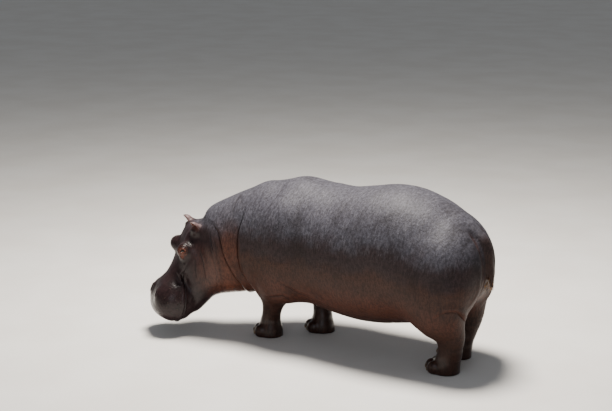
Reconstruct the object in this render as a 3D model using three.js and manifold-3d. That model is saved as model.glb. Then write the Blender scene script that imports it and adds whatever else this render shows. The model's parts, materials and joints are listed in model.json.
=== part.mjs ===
// A common hippopotamus at life size, standing with its head lowered and turned to its left.
// Millimetres, +Z up, +X towards the tail, -Y on the animal's left. The origin is on the floor under the middle.
import * as THREE from "three";
import { mergeVertices } from "three/addons/utils/BufferGeometryUtils.js";
import Module from "manifold-3d";

const wasm = await Module();
wasm.setup();

// ---- Driving sizes ----
const cutGap = 0.5; // free space left by each cut between two parts
const seatGap = 0.8; // free space under an ear and the tail, where two sets of facets meet
const weld = 0.02; // corners closer than this become one
const trunkCell = [140, 112, 112]; // facet sizes along x, y and z
const neckCell = [110, 98, 98];
const headCell = [47, 44, 44];
const legCell = [80, 76, 90];
const footCell = [58, 56, 50];
const tailCell = [36, 36, 64];
const earLength = 112;
const eyeRadius = 25;
const ankleHeight = 150; // where a foot is cut from its leg
const headBend = 50; // degrees that the head is turned to the left of the trunk's line
const headPitch = 60; // degrees that the nose line points below level
const eyeMidPoint = [-1581, -488, 743]; // middle of the line between the eyes: the head frame's origin
const neckRoot = [-700, 0, 850]; // middle of the neck where it leaves the chest
const neckTurn = 25; // degrees that the neck points to the left
const neckDip = 3; // degrees that the neck points below level

const sides = { left: -1, right: 1 };

// ---- Field helpers: each returns a distance in millimetres, negative inside ----
const radians = THREE.MathUtils.degToRad;

function smoothMin(a, b, blend) {
  const h = Math.max(blend - Math.abs(a - b), 0) / blend;
  return Math.min(a, b) - (h * h * blend) / 4;
}

// Distance to a superellipse in 2-D or a superellipsoid in 3-D; squareness 2 is a true ellipse.
function roundForm(offsets, radii, squareness = 2) {
  const share = offsets.map((v, i) => Math.abs(v) / radii[i]);
  const size = share.reduce((sum, v) => sum + v ** squareness, 0) ** (1 / squareness);
  if (size < 1e-6) return -Math.min(...radii);
  const slope = share.map((v, i) => (v / size) ** (squareness - 1) / radii[i]);
  return (size - 1) / Math.hypot(...slope);
}

// Smooth interpolation between stations, each [position, value, value, ...].
function station(table, at) {
  const last = table.length - 1;
  if (at <= table[0][0]) return table[0].slice(1);
  if (at >= table[last][0]) return table[last].slice(1);
  let i = 0;
  while (at > table[i + 1][0]) i++;
  const [a, b] = [table[i], table[i + 1]];
  const before = table[Math.max(i - 1, 0)];
  const after = table[Math.min(i + 2, last)];
  const span = b[0] - a[0];
  const t = (at - a[0]) / span;
  return a.slice(1).map((va, k) => {
    const vb = b[k + 1];
    const ma = ((vb - before[k + 1]) / (b[0] - before[0])) * span;
    const mb = ((after[k + 1] - va) / (after[0] - a[0])) * span;
    const rest = 1 - t;
    return (va * (1 + 2 * t) + ma * t) * rest * rest + (vb * (1 + 2 * rest) - mb * rest) * t * t;
  });
}

// A body lofted along one axis. Stations are [along, centre u, centre v, half u, half v].
function loft(table, along, u, v, squareness = 2) {
  const [cu, cv, ru, rv] = station(table, along);
  const section = roundForm([u - cu, v - cv], [ru, rv], squareness);
  const ends = Math.max(table[0][0] - along, along - table[table.length - 1][0]);
  return Math.max(section, ends);
}

function joined(pieces) {
  return pieces.reduce((field, [distance, blend]) => smoothMin(field, distance, blend), 1e5);
}

// ---- Trunk ----
// [x, top, belly, half width]
const barrelSections = [
  [-780, 1240, 500, 290],
  [-690, 1300, 400, 385],
  [-570, 1326, 340, 440],
  [-400, 1328, 302, 470],
  [-200, 1322, 272, 492],
  [0, 1352, 254, 505],
  [200, 1386, 264, 506],
  [400, 1380, 300, 490],
  [580, 1306, 352, 446],
  [700, 1220, 410, 390],
  [790, 1120, 500, 300],
];
const barrel = barrelSections.map(([x, top, belly, half]) => [x, 0, (top + belly) / 2, half, (top - belly) / 2]);

const rump = { centre: [520, 0, 840], radii: [546, 446, 462] };
const forequarter = { centre: [-660, 0, 818], radii: [350, 415, 494] };
const chest = { centre: [-850, 0, 640], radii: [230, 290, 290] };

function mirrored(form, x, y, z, squareness = 2) {
  const [cx, cy, cz] = form.centre;
  return roundForm([x - cx, Math.abs(y) - cy, z - cz], form.radii, squareness);
}

function trunkField(x, y, z) {
  return joined([
    [loft(barrel, x, y, z, 2.15), 1],
    [mirrored(rump, x, y, z), 120],
    [mirrored(forequarter, x, y, z), 120],
    [mirrored(chest, x, y, z), 200],
  ]);
}

// ---- Neck: a loft in its own frame, from the chest towards the back of the head ----
const neckSections = [
  [-150, 0, -8, 390, 460],
  [80, 0, -12, 370, 468],
  [235, 0, -5, 350, 470],
  [390, 0, -34, 325, 442],
  [500, 0, -54, 303, 420],
  [700, 0, -103, 262, 383],
  [790, 0, -118, 226, 340],
  [850, 0, -128, 160, 240],
];
const neckFrame = new THREE.Matrix4()
  .makeRotationFromEuler(new THREE.Euler(0, radians(neckDip), radians(180 + neckTurn), "ZYX"))
  .setPosition(...neckRoot);
const toNeck = neckFrame.clone().invert();
const point = new THREE.Vector3();

function neckField(x, y, z) {
  point.set(x, y, z).applyMatrix4(toNeck);
  return loft(neckSections, point.x, point.y, point.z, 2.1);
}

// ---- Head, in its own frame: x forward along the nose line, y to the animal's left, z out of the forehead ----
const headFrame = new THREE.Matrix4()
  .makeRotationFromEuler(new THREE.Euler(0, radians(headPitch), radians(180 + headBend), "ZYX"))
  .setPosition(...eyeMidPoint);
const toHead = headFrame.clone().invert();

// [forward, forehead line, underside, half width]
const upperHeadSections = [
  [-330, -85, -330, 150],
  [-270, -38, -335, 172],
  [-210, 0, -340, 180],
  [-145, 20, -340, 184],
  [-40, 14, -320, 176],
  [60, -6, -290, 146],
  [170, -14, -250, 122],
  [280, -12, -235, 132],
  [380, 0, -240, 168],
  [450, 2, -250, 190],
];
const upperHead = upperHeadSections.map(([s, top, low, half]) => [s, 0, (top + low) / 2, half, (top - low) / 2]);
const jawSections = [
  [-60, -180, -450, 175],
  [60, -160, -476, 205],
  [180, -150, -468, 203],
  [260, -150, -450, 190],
  [340, -150, -426, 180],
  [420, -160, -396, 175],
  [490, -180, -362, 160],
];
const jaw = jawSections.map(([s, top, low, half]) => [s, 0, (top + low) / 2, half, (top - low) / 2]);
const muzzlePad = { centre: [434, 0, -147], radii: [178, 212, 148] };
const lipBulge = { centre: [440, 124, -174], radii: [138, 94, 120] };
const nostrilMound = { centre: [426, 98, -46], radii: [78, 50, 52] };
const chin = { centre: [470, 0, -268], radii: [116, 166, 74] };
const cheek = { centre: [20, 130, -250], radii: [190, 105, 195] };
const eyeTurret = { centre: [6, 134, -20], radii: [62, 48, 58] };
const earStalk = { centre: [-190, 124, -24], radii: [46, 42, 40] };
const nostril = { centre: [428, 104, 6], radii: [30, 10, 16] };
const eyeSeat = { centre: [14, 160, 5], radii: [eyeRadius, eyeRadius, eyeRadius] };
// An ear is a leaf-shaped cup on a line that points out, up and back; its hollow faces forwards and outwards.
const ear = {
  root: [-204, 126, -18],
  axis: [-0.43, 0.3, 0.85],
  face: [0.75, 0.62, 0.1],
  rise: earLength * 0.4,
  shell: [27, 34, earLength / 2],
  hollow: [27, 25, earLength / 2 - 12],
  hollowShift: [22, 0, 6],
};

function headField(a, l, u) {
  return joined([
    [loft(upperHead, a, l, u, 2.3), 1],
    [loft(jaw, a, l, u, 2.6), 60],
    [mirrored(cheek, a, l, u), 110],
    [mirrored(muzzlePad, a, l, u, 2.5), 60],
    [mirrored(lipBulge, a, l, u), 60],
    [mirrored(nostrilMound, a, l, u), 45],
    [mirrored(chin, a, l, u), 40],
    [mirrored(eyeTurret, a, l, u), 50],
    [mirrored(earStalk, a, l, u), 50],
  ]);
}

// ---- Legs: lofts up the Z axis ----
// Stations are [height, forward shift, outward shift, half length, half width] from the middle of the foot.
const foreColumn = [
  [0, 10, 0, 118, 104],
  [60, 6, 0, 112, 100],
  [130, -2, 0, 88, 84],
  [210, -6, 2, 80, 78],
  [300, -14, 10, 98, 90],
  [400, -40, 30, 130, 108],
  [540, -70, 60, 165, 120],
  [700, -80, 80, 180, 120],
];
const hindColumn = [
  [0, -4, 0, 124, 108],
  [60, -14, 0, 118, 104],
  [130, -42, 2, 104, 92],
  [220, -66, 4, 102, 90],
  [300, -64, 12, 126, 104],
  [370, -42, 22, 156, 116],
  [520, -20, 36, 165, 125],
  [680, -10, 50, 190, 130],
];
// Muscle masses over the top of each leg: [back, outward] from the foot, then height; these ride on one leg each.
const foreMasses = [
  { centre: [190, 110, 765], radii: [240, 190, 410], blend: 150 },
];
const hindMasses = [
  { centre: [15, -20, 790], radii: [250, 190, 340], blend: 110 },
  { centre: [-30, 110, 660], radii: [250, 170, 360], blend: 150 },
];
const legs = {
  foreleg_left: { side: "left", foot: [-868, -186], column: foreColumn, lean: [150, -60], yaw: 4 },
  foreleg_right: { side: "right", foot: [-572, 158], column: foreColumn, lean: [-110, 70], yaw: -4 },
  hindleg_left: { side: "left", foot: [795, -190], column: hindColumn, lean: [-10, -50], yaw: 6 },
  hindleg_right: { side: "right", foot: [690, 196], column: hindColumn, lean: [30, 50], yaw: -6 },
};
const leanHeight = 700; // the lean of a leg is its shift in x and y at this height

const toe = { radii: [52, 37, 56], height: 44 };
const nail = { radii: [13, 25, 25], height: 36, ahead: toe.radii[0] - 6, splay: 1.04 };
const toePlaces = [
  [42, -88],
  [92, -34],
  [92, 34],
  [42, 88],
];

function footPoint(leg, x, y) {
  const turn = radians(leg.yaw * -sides[leg.side]);
  const [dx, dy] = [-(x - leg.foot[0]), (y - leg.foot[1]) * sides[leg.side]];
  return [dx * Math.cos(turn) - dy * Math.sin(turn), dx * Math.sin(turn) + dy * Math.cos(turn)];
}

function toeField(leg, x, y, z, spot) {
  const [forward, outward] = footPoint(leg, x, y);
  return roundForm([forward - spot[0], outward - spot[1], z - toe.height], toe.radii);
}

function legField(leg, x, y, z) {
  const share = Math.max(z - ankleHeight, 0) / (leanHeight - ankleHeight);
  const [forward, outward] = footPoint(leg, x - leg.lean[0] * share, y - leg.lean[1] * share);
  const column = loft(leg.column, z, forward, outward, 2.1);
  return joined([[column, 1], ...toePlaces.map((spot) => [toeField(leg, x, y, z, spot), 26])]);
}

function massFields(name, x, y, z) {
  const leg = legs[name];
  const masses = name.startsWith("fore") ? foreMasses : hindMasses;
  return masses.map(({ centre: [back, outward, height], radii, blend }) => [
    roundForm([x - leg.foot[0] - back, (y - leg.foot[1]) * sides[leg.side] - outward, z - height], radii),
    blend,
  ]);
}

// ---- The whole outline ----
function bodyField(x, y, z) {
  point.set(x, y, z).applyMatrix4(toHead);
  const [a, l, u] = [point.x, point.y, point.z];
  const body = joined([
    [trunkField(x, y, z), 1],
    [neckField(x, y, z), 110],
    ...Object.keys(legs).flatMap((name) => massFields(name, x, y, z)),
    ...Object.values(legs).map((leg) => [legField(leg, x, y, z), 70]),
  ]);
  return smoothMin(body, headField(a, l, u), 60);
}

// ---- Tail: a loft down the Z axis, flat from side to side near its tip ----
const tailSections = [
  [690, 1096, 0, 11, 12],
  [760, 1086, 0, 24, 30],
  [840, 1066, 0, 36, 43],
  [930, 1046, 0, 48, 52],
  [1040, 1000, 0, 58, 58],
  [1120, 925, 0, 64, 60],
  [1180, 850, 0, 60, 60],
];
const tailField = (x, y, z) => loft(tailSections, z, x, y, 2);

// How sharply a four-sided patch folds along the line from its first corner to its third.
function fold(positions, quad) {
  const [p, q, r, s] = quad.map((n) => new THREE.Vector3().fromArray(positions, n * 3));
  const first = new THREE.Triangle(p, q, r).getNormal(new THREE.Vector3());
  const second = new THREE.Triangle(p, r, s).getNormal(new THREE.Vector3());
  return -first.dot(second);
}

// Two triangles from the four corners of a patch.
const halves = ([p, q, r, s]) => [p, q, r, p, r, s];

// Moves a point onto the field's surface, unless that is further than the reach.
function settled(field, start, reach) {
  const nudge = 1;
  let spot = start;
  for (let round = 0; round < 2; round++) {
    const value = field(...spot);
    const slope = [0, 1, 2].map((m) => {
      const ahead = spot.map((v, n) => (n === m ? v + nudge : v));
      return (field(...ahead) - value) / nudge;
    });
    const steepness = slope.reduce((sum, v) => sum + v * v, 0) || 1;
    spot = spot.map((v, m) => v - (value * slope[m]) / steepness);
  }
  const moved = Math.hypot(...spot.map((v, m) => v - start[m]));
  return moved < reach ? spot : start;
}

// ---- Surface of a field: one vertex in each cell that the surface crosses, joined across each crossed edge ----
function surfaceOf(field, low, high, cell) {
  const counts = low.map((v, i) => Math.ceil((high[i] - v) / cell[i]) + 2);
  const [nx, ny, nz] = counts;
  const at = (i, j, k) => i + nx * (j + ny * k);
  const place = (...grid) => grid.map((n, m) => low[m] + (n - 0.5) * cell[m]);
  const values = new Float64Array(nx * ny * nz);
  for (let k = 0; k < nz; k++)
    for (let j = 0; j < ny; j++)
      for (let i = 0; i < nx; i++) {
        const edge = !i || !j || !k || i === nx - 1 || j === ny - 1 || k === nz - 1;
        values[at(i, j, k)] = edge ? cell[0] : field(...place(i, j, k)) || 1e-6;
      }
  const corners = [0, 1, 2, 3, 4, 5, 6, 7].map((c) => [c & 1, (c >> 1) & 1, c >> 2]);
  const positions = [];
  const vertexOf = new Map();
  for (let k = 0; k < nz - 1; k++)
    for (let j = 0; j < ny - 1; j++)
      for (let i = 0; i < nx - 1; i++) {
        const crossing = [];
        corners.forEach((p, c) =>
          corners.slice(c + 1).forEach((q) => {
            if (p.reduce((n, v, m) => n + Math.abs(v - q[m]), 0) !== 1) return;
            const va = values[at(i + p[0], j + p[1], k + p[2])];
            const vb = values[at(i + q[0], j + q[1], k + q[2])];
            if (va < 0 === vb < 0) return;
            const t = va / (va - vb);
            crossing.push(p.map((v, m) => v + (q[m] - v) * t));
          }),
        );
        if (!crossing.length) continue;
        const mean = [0, 1, 2].map((m) => crossing.reduce((sum, c) => sum + c[m], 0) / crossing.length);
        const corner = place(i, j, k);
        vertexOf.set(at(i, j, k), positions.length / 3);
        positions.push(...settled(field, mean.map((v, m) => corner[m] + v * cell[m]), Math.min(...cell) / 2));
      }
  const index = [];
  const strides = [1, nx, nx * ny];
  for (let k = 0; k < nz - 1; k++)
    for (let j = 0; j < ny - 1; j++)
      for (let i = 0; i < nx - 1; i++) {
        const here = at(i, j, k);
        strides.forEach((stride, axis) => {
          if ([i, j, k].some((n, other) => other !== axis && n === 0)) return;
          const inside = values[here] < 0;
          if (inside === values[here + stride] < 0) return;
          const [su, sv] = [strides[(axis + 1) % 3], strides[(axis + 2) % 3]];
          const quad = [here - su - sv, here - sv, here, here - su].map((cell) => vertexOf.get(cell));
          if (!inside) quad.reverse();
          const turned = [...quad.slice(1), quad[0]];
          index.push(...halves(fold(positions, quad) > fold(positions, turned) ? turned : quad));
        });
      }
  const geometry = new THREE.BufferGeometry();
  geometry.setAttribute("position", new THREE.Float32BufferAttribute(positions, 3));
  geometry.setIndex(index);
  return geometry;
}

// ---- Solids: joins and cuts ----
function solidOf(geometry, matrix = new THREE.Matrix4()) {
  const bare = geometry.clone();
  bare.deleteAttribute("normal");
  bare.deleteAttribute("uv");
  const merged = mergeVertices(bare.applyMatrix4(matrix), 1e-3);
  const mesh = new wasm.Mesh({
    numProp: 3,
    vertProperties: new Float32Array(merged.attributes.position.array),
    triVerts: new Uint32Array(merged.index.array),
  });
  return new wasm.Manifold(mesh);
}

// The solid's mesh, with corners that nearly touch drawn together.
function geometryOf(solid) {
  const { vertProperties, triVerts } = solid.getMesh();
  const geometry = new THREE.BufferGeometry();
  geometry.setAttribute("position", new THREE.BufferAttribute(new Float32Array(vertProperties), 3));
  geometry.setIndex(new THREE.BufferAttribute(new Uint32Array(triVerts), 1));
  const welded = mergeVertices(geometry, weld);
  const corners = welded.index.array;
  const kept = [];
  for (let t = 0; t < corners.length; t += 3) {
    const [a, b, c] = corners.slice(t, t + 3);
    if (a !== b && b !== c && c !== a) kept.push(a, b, c);
  }
  welded.setIndex(kept);
  const flat = welded.toNonIndexed();
  flat.computeVertexNormals();
  return flat;
}

const farAway = 6000;

// Everything on the side of a plane that its normal points to.
function sideOf(through, normal, shift = 0, frame = new THREE.Matrix4()) {
  const n = new THREE.Vector3(...normal).normalize();
  const turn = new THREE.Quaternion().setFromUnitVectors(new THREE.Vector3(0, 0, 1), n);
  const middle = new THREE.Vector3(...through).addScaledVector(n, farAway / 2 + shift);
  const box = new THREE.BoxGeometry(farAway, farAway, farAway);
  const pose = new THREE.Matrix4().compose(middle, turn, new THREE.Vector3(1, 1, 1));
  return solidOf(box, pose.premultiply(frame));
}

function ball(centre, radii, { across = 10, down = 6, pose = new THREE.Matrix4() } = {}) {
  const geometry = new THREE.SphereGeometry(1, across, down);
  geometry.scale(...radii);
  geometry.translate(...centre);
  return solidOf(geometry, pose);
}

const larger = (radii, gap) => radii.map((r) => r + gap);

const aboveFloor = sideOf([0, 0, 0], [0, 0, 1]);

// The space that a leg is cut out of: a round-topped column, straight up to part of its height, that follows
// part of the leg's lean.
const legSpace = {
  foreleg: { centre: [60, 60], radii: [270, 200], top: 560 },
  hindleg: { centre: [40, 60], radii: [300, 215], top: 600 },
};
const straightShare = 0.45;
const leanShare = [0.3, 0.2];

function legCutter(name, grow = 0) {
  const leg = legs[name];
  const side = sides[leg.side];
  const space = legSpace[name.split("_")[0]];
  const middle = [
    leg.foot[0] + space.centre[0] + leg.lean[0] * leanShare[0],
    leg.foot[1] + side * space.centre[1] + leg.lean[1] * leanShare[1],
  ];
  const profile = new THREE.Path();
  profile.moveTo(0, -100);
  profile.lineTo(1, -100);
  profile.lineTo(1, space.top * straightShare);
  profile.quadraticCurveTo(1, space.top, 0, space.top);
  const geometry = new THREE.LatheGeometry(profile.getPoints(4), 14);
  geometry.rotateX(Math.PI / 2);
  geometry.scale(space.radii[0] + grow, space.radii[1] + grow, 1 + grow / space.top);
  geometry.translate(...middle, 0);
  return solidOf(geometry);
}

// ---- Materials: one for each part, from five finishes ----
const hide = { color: 0x5c4a48, roughness: 0.62, metalness: 0 };
const faceHide = { color: 0x54423f, roughness: 0.5, metalness: 0 };
const earSkin = { color: 0xa0695a, roughness: 0.6, metalness: 0 };
const horn = { color: 0x4a3d36, roughness: 0.45, metalness: 0 };
const wetEye = { color: 0x1c120d, roughness: 0.08, metalness: 0 };

function part(name, solid, finish) {
  const mesh = new THREE.Mesh(geometryOf(solid), new THREE.MeshStandardMaterial(finish));
  mesh.name = name;
  return mesh;
}

// ---- Cuts between the parts ----
const neckCut = { through: [-905, 0, 800], normal: [1, 0.2, 0.16] }; // normal points to the trunk
const headCut = { through: [-105, 0, -250], normal: [0.8, 0, 0.6] }; // head frame; normal points to the head
// Side view of the lower jaw, in the head frame: the mouth line, then the corner of the jaw.
const jawOutline = [
  [700, -285],
  [560, -279],
  [500, -262],
  [355, -208],
  [136, -112],
  [60, -190],
  [0, -330],
  [-60, -700],
  [700, -700],
];

function jawCutter(grow) {
  const outline = jawOutline.map(([a, u]) => new THREE.Vector2(a - grow, u + grow));
  const geometry = new THREE.ExtrudeGeometry(new THREE.Shape(outline), { depth: 800, bevelEnabled: false });
  geometry.translate(0, 0, -400);
  geometry.rotateX(Math.PI / 2);
  return solidOf(geometry);
}

// ---- Build ----
const hippo = new THREE.Group();
const cutters = Object.fromEntries(Object.keys(legs).map((name) => [name, legCutter(name)]));

// Boxes that the surfaces are sought in: low corner, high corner, facet size.
const trunkSpace = [[-1180, -700, 150], [1250, 700, 1480], trunkCell];
const neckSpace = [[-1720, -900, 250], [-760, 520, 1480], neckCell];
const headSpace = [[-420, -400, -680], [660, 400, 120], headCell];
const tailSpace = [[760, -120, 660], [1180, 120, 1230], tailCell];
let trunk = solidOf(surfaceOf(bodyField, ...trunkSpace));
trunk = trunk.intersect(sideOf(neckCut.through, neckCut.normal, cutGap / 2));
for (const name of Object.keys(legs)) trunk = trunk.subtract(legCutter(name, cutGap));
hippo.add(part("trunk", trunk, hide));

let neck = solidOf(surfaceOf(bodyField, ...neckSpace));
neck = neck.subtract(sideOf(neckCut.through, neckCut.normal, -cutGap / 2));
neck = neck.subtract(sideOf(headCut.through, headCut.normal, -cutGap / 2, headFrame));
for (const name of ["foreleg_left", "foreleg_right"]) neck = neck.subtract(legCutter(name, cutGap));
hippo.add(part("neck", neck, hide));

const headGroup = new THREE.Group();
headGroup.applyMatrix4(headFrame);
hippo.add(headGroup);

const inHeadFrame = (a, l, u) => {
  const p = new THREE.Vector3(a, l, u).applyMatrix4(headFrame);
  return bodyField(p.x, p.y, p.z);
};
let wholeHead = solidOf(surfaceOf(inHeadFrame, ...headSpace));
const aroundHead = solidOf(surfaceOf((a, l, u) => inHeadFrame(a, l, u) - seatGap, ...headSpace));
wholeHead = wholeHead.intersect(sideOf(headCut.through, headCut.normal, cutGap / 2));
const onSide = (side, [a, l, u]) => [a, -sides[side] * l, u];
for (const side of Object.keys(sides)) {
  const centre = onSide(side, eyeSeat.centre);
  wholeHead = wholeHead.subtract(ball(centre, larger(eyeSeat.radii, 2 * cutGap)));
  headGroup.add(part(`eye_${side}`, ball(centre, eyeSeat.radii), wetEye));
}
let upperJaw = wholeHead.subtract(jawCutter(cutGap));
for (const side of Object.keys(sides)) {
  upperJaw = upperJaw.subtract(ball(onSide(side, nostril.centre), nostril.radii, { across: 8, down: 4 }));
}
headGroup.add(part("head", upperJaw, faceHide));
headGroup.add(part("lower_jaw", wholeHead.intersect(jawCutter(0)), faceHide));

for (const side of Object.keys(sides)) {
  const axis = new THREE.Vector3(...onSide(side, ear.axis)).normalize();
  const face = new THREE.Vector3(...onSide(side, ear.face));
  face.addScaledVector(axis, -face.dot(axis)).normalize();
  const across = new THREE.Vector3().crossVectors(axis, face);
  const middle = new THREE.Vector3(...onSide(side, ear.root)).addScaledVector(axis, ear.rise);
  const pose = new THREE.Matrix4().makeBasis(face, across, axis).setPosition(middle);
  const shell = ball([0, 0, 0], ear.shell, { down: 7, pose });
  const hollow = ball(ear.hollowShift, ear.hollow, { down: 7, pose });
  headGroup.add(part(`ear_${side}`, shell.subtract(hollow).subtract(aroundHead).subtract(wholeHead), earSkin));
}

// Legs, feet and toenails.
for (const [name, leg] of Object.entries(legs)) {
  const [kind, side] = name.split("_");
  const foot = kind === "foreleg" ? "forefoot" : "hindfoot";
  const [fx, fy] = leg.foot;
  const around = (low, high) => [[fx - 420, fy - 340, low], [fx + 480, fy + 340, high]];
  const whole = (cell, low, high) => solidOf(surfaceOf(bodyField, ...around(low, high), cell));
  const column = whole(legCell, ankleHeight - 60, 760)
    .intersect(cutters[name])
    .intersect(sideOf([0, 0, ankleHeight], [0, 0, 1], cutGap / 2));
  let sole = whole(footCell, -80, ankleHeight + 60)
    .intersect(cutters[name])
    .intersect(aboveFloor)
    .subtract(sideOf([0, 0, ankleHeight], [0, 0, 1], -cutGap / 2));
  toePlaces.forEach(([forward, outward], i) => {
    const turn = radians(leg.yaw * -sides[side]);
    const ahead = forward + nail.ahead;
    const aside = outward * nail.splay;
    const dx = ahead * Math.cos(turn) + aside * Math.sin(turn);
    const dy = -ahead * Math.sin(turn) + aside * Math.cos(turn);
    const centre = [fx - dx, fy + dy * sides[side], nail.height];
    const facets = { across: 7, down: 4 };
    sole = sole.subtract(ball(centre, larger(nail.radii, cutGap), facets));
    hippo.add(part(`toenail_${foot}_${side}_${i + 1}`, ball(centre, nail.radii, facets), horn));
  });
  hippo.add(part(name, column, hide));
  hippo.add(part(`${foot}_${side}`, sole, hide));
}

const aroundTrunk = solidOf(surfaceOf((x, y, z) => bodyField(x, y, z) - seatGap, ...trunkSpace));
const tail = solidOf(surfaceOf(tailField, ...tailSpace));
hippo.add(part("tail", tail.subtract(aroundTrunk), hide));

// The middle of the bounding box, at the floor, becomes the origin.
const bounds = new THREE.Box3().setFromObject(hippo, true);
const middle = bounds.getCenter(new THREE.Vector3());
hippo.position.set(-middle.x, -middle.y, 0);

const model = new THREE.Group();
model.add(hippo);
export default model;
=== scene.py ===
import json
import math
import time

import bpy
import numpy as np
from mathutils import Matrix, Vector

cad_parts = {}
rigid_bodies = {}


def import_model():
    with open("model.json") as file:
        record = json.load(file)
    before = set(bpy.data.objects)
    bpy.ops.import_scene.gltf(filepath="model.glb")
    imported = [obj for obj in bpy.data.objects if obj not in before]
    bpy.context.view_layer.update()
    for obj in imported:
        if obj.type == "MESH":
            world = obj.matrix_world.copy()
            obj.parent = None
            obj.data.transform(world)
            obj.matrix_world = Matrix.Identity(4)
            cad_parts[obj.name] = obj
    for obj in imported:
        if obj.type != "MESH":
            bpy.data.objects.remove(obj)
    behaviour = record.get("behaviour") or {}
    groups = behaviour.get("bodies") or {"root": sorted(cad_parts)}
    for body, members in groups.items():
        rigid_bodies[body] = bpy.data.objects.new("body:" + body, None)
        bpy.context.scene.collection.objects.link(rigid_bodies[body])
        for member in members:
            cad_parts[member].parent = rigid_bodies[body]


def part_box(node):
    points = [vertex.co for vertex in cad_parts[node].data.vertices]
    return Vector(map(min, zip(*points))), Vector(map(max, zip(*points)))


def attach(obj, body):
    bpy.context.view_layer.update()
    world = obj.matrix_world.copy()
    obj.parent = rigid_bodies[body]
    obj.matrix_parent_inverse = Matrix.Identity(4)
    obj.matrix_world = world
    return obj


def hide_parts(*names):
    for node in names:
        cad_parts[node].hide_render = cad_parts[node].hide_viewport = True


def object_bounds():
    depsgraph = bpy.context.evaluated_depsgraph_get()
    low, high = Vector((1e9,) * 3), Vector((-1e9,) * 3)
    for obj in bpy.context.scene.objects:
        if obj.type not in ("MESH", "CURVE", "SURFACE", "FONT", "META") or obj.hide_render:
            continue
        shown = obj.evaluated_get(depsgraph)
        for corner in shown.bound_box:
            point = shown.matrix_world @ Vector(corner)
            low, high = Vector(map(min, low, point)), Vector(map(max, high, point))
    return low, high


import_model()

startTime = time.time()
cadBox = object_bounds()

# The animal's shape is worked out in millimetres in a frame of its own, +X to the tail and -Y to its left,
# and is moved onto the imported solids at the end.


def report(text):
    print(f"{time.time() - startTime:6.1f} s  {text}")


def turned(aroundZ, aroundY):  # rows are the turned x, y and z axes
    cz, sz = math.cos(math.radians(aroundZ)), math.sin(math.radians(aroundZ))
    cy, sy = math.cos(math.radians(aroundY)), math.sin(math.radians(aroundY))
    return np.array([[cz * cy, sz * cy, -sy], [-sz, cz, 0.0], [cz * sy, sz * sy, cy]])


def unit(v):
    v = np.array(v, float)
    return v / np.linalg.norm(v)


def smoothStep(low, high, v):
    t = np.clip((v - low) / (high - low), 0, 1)
    return t * t * (3 - 2 * t)


def bell(v, width):
    return np.exp(-((v / width) ** 2))


# Frames: head x runs forward along the nose, y to the animal's left, z out of its forehead. Neck x runs
# forward along the neck, and its z upwards.
pose = {
    "eyeMid": (-1581, -488, 743),
    "headBend": 50,
    "headPitch": 60,
    "neckRoot": (-700, 0, 850),
    "neckTurn": 25,
    "neckDip": 3,
}
headRows = turned(180 + pose["headBend"], pose["headPitch"])
neckRows = turned(180 + pose["neckTurn"], pose["neckDip"])


def toHead(points):
    return (points - np.array(pose["eyeMid"])) @ headRows.T


def fromHead(points):
    return np.asarray(points, float) @ headRows + np.array(pose["eyeMid"])


def toNeck(points):
    return (points - np.array(pose["neckRoot"])) @ neckRows.T


# Distances: each is in millimetres and negative inside.
def smoothMin(a, b, blend):
    h = np.maximum(blend - np.abs(a - b), 0) / blend
    return np.minimum(a, b) - h * h * blend / 4


def roundForm(offsets, radii, squareness=2.0):
    share = [np.abs(v) / r for v, r in zip(offsets, radii)]
    size = sum(s**squareness for s in share) ** (1 / squareness)
    size = np.maximum(size, 1e-5)
    slope = sum(((s / size) ** (squareness - 1) / r) ** 2 for s, r in zip(share, radii)) ** 0.5
    return (size - 1) / np.maximum(slope, 1e-9)


def denseStations(table, count=400):  # smooth values between stations [position, value, value, ...]
    table = np.array(table, float)
    at = np.linspace(table[0, 0], table[-1, 0], count)
    i = np.clip(np.searchsorted(table[:, 0], at, side="right") - 1, 0, len(table) - 2)
    a, b = table[i], table[i + 1]
    before, after = table[np.maximum(i - 1, 0)], table[np.minimum(i + 2, len(table) - 1)]
    span = b[:, :1] - a[:, :1]
    t = (at[:, None] - a[:, :1]) / span
    slopeA = (b - before) / (b[:, :1] - before[:, :1]) * span
    slopeB = (after - a) / (after[:, :1] - a[:, :1]) * span
    rest = 1 - t
    return at, ((a * (1 + 2 * t) + slopeA * t) * rest**2 + (b * (1 + 2 * rest) - slopeB * rest) * t**2)[:, 1:]


# Turns [position, top, bottom, half width] into [position, centre y, centre z, half y, half z].
def topAndBottom(rows):
    return [(s, 0, (top + low) / 2, half, (top - low) / 2) for s, top, low, half in rows]


def loftForm(table, squareness, order=(0, 1, 2), endBlend=0):  # order: which axes are along, u and v
    at, values = denseStations(table)

    def distance(points):
        along, u, v = (points[:, k] for k in order)
        cu, cv, ru, rv = (np.interp(along, at, values[:, k]) for k in range(4))
        section = roundForm((u - cu, v - cv), (ru, rv), squareness)
        ends = np.maximum(at[0] - along, along - at[-1])
        return -smoothMin(-section, -ends, endBlend) if endBlend else np.maximum(section, ends)

    low, high = np.zeros(3), np.zeros(3)
    low[order[0]], high[order[0]] = at[0], at[-1]
    for k in (0, 1):
        low[order[k + 1]] = (values[:, k] - values[:, k + 2]).min()
        high[order[k + 1]] = (values[:, k] + values[:, k + 2]).max()
    return distance, low, high


def ballForm(centre, radii, squareness=2.0, mirrored=True):
    centre, radii = np.array(centre, float), np.array(radii, float)

    def distance(points):
        y = np.abs(points[:, 1]) if mirrored else points[:, 1]
        offsets = (points[:, 0] - centre[0], y - centre[1], points[:, 2] - centre[2])
        return roundForm(offsets, radii, squareness)

    low, high = centre - radii, centre + radii
    if mirrored:
        low[1] = -high[1]
    return distance, low, high


def joinForm(field, points, form, blend):  # works only where the form can change the result
    distance, low, high = form
    reach = blend + 90
    near = np.flatnonzero(np.all((points > low - reach) & (points < high + reach), axis=1))
    if len(near):
        field[near] = smoothMin(field[near], distance(points[near]), blend)


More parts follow.
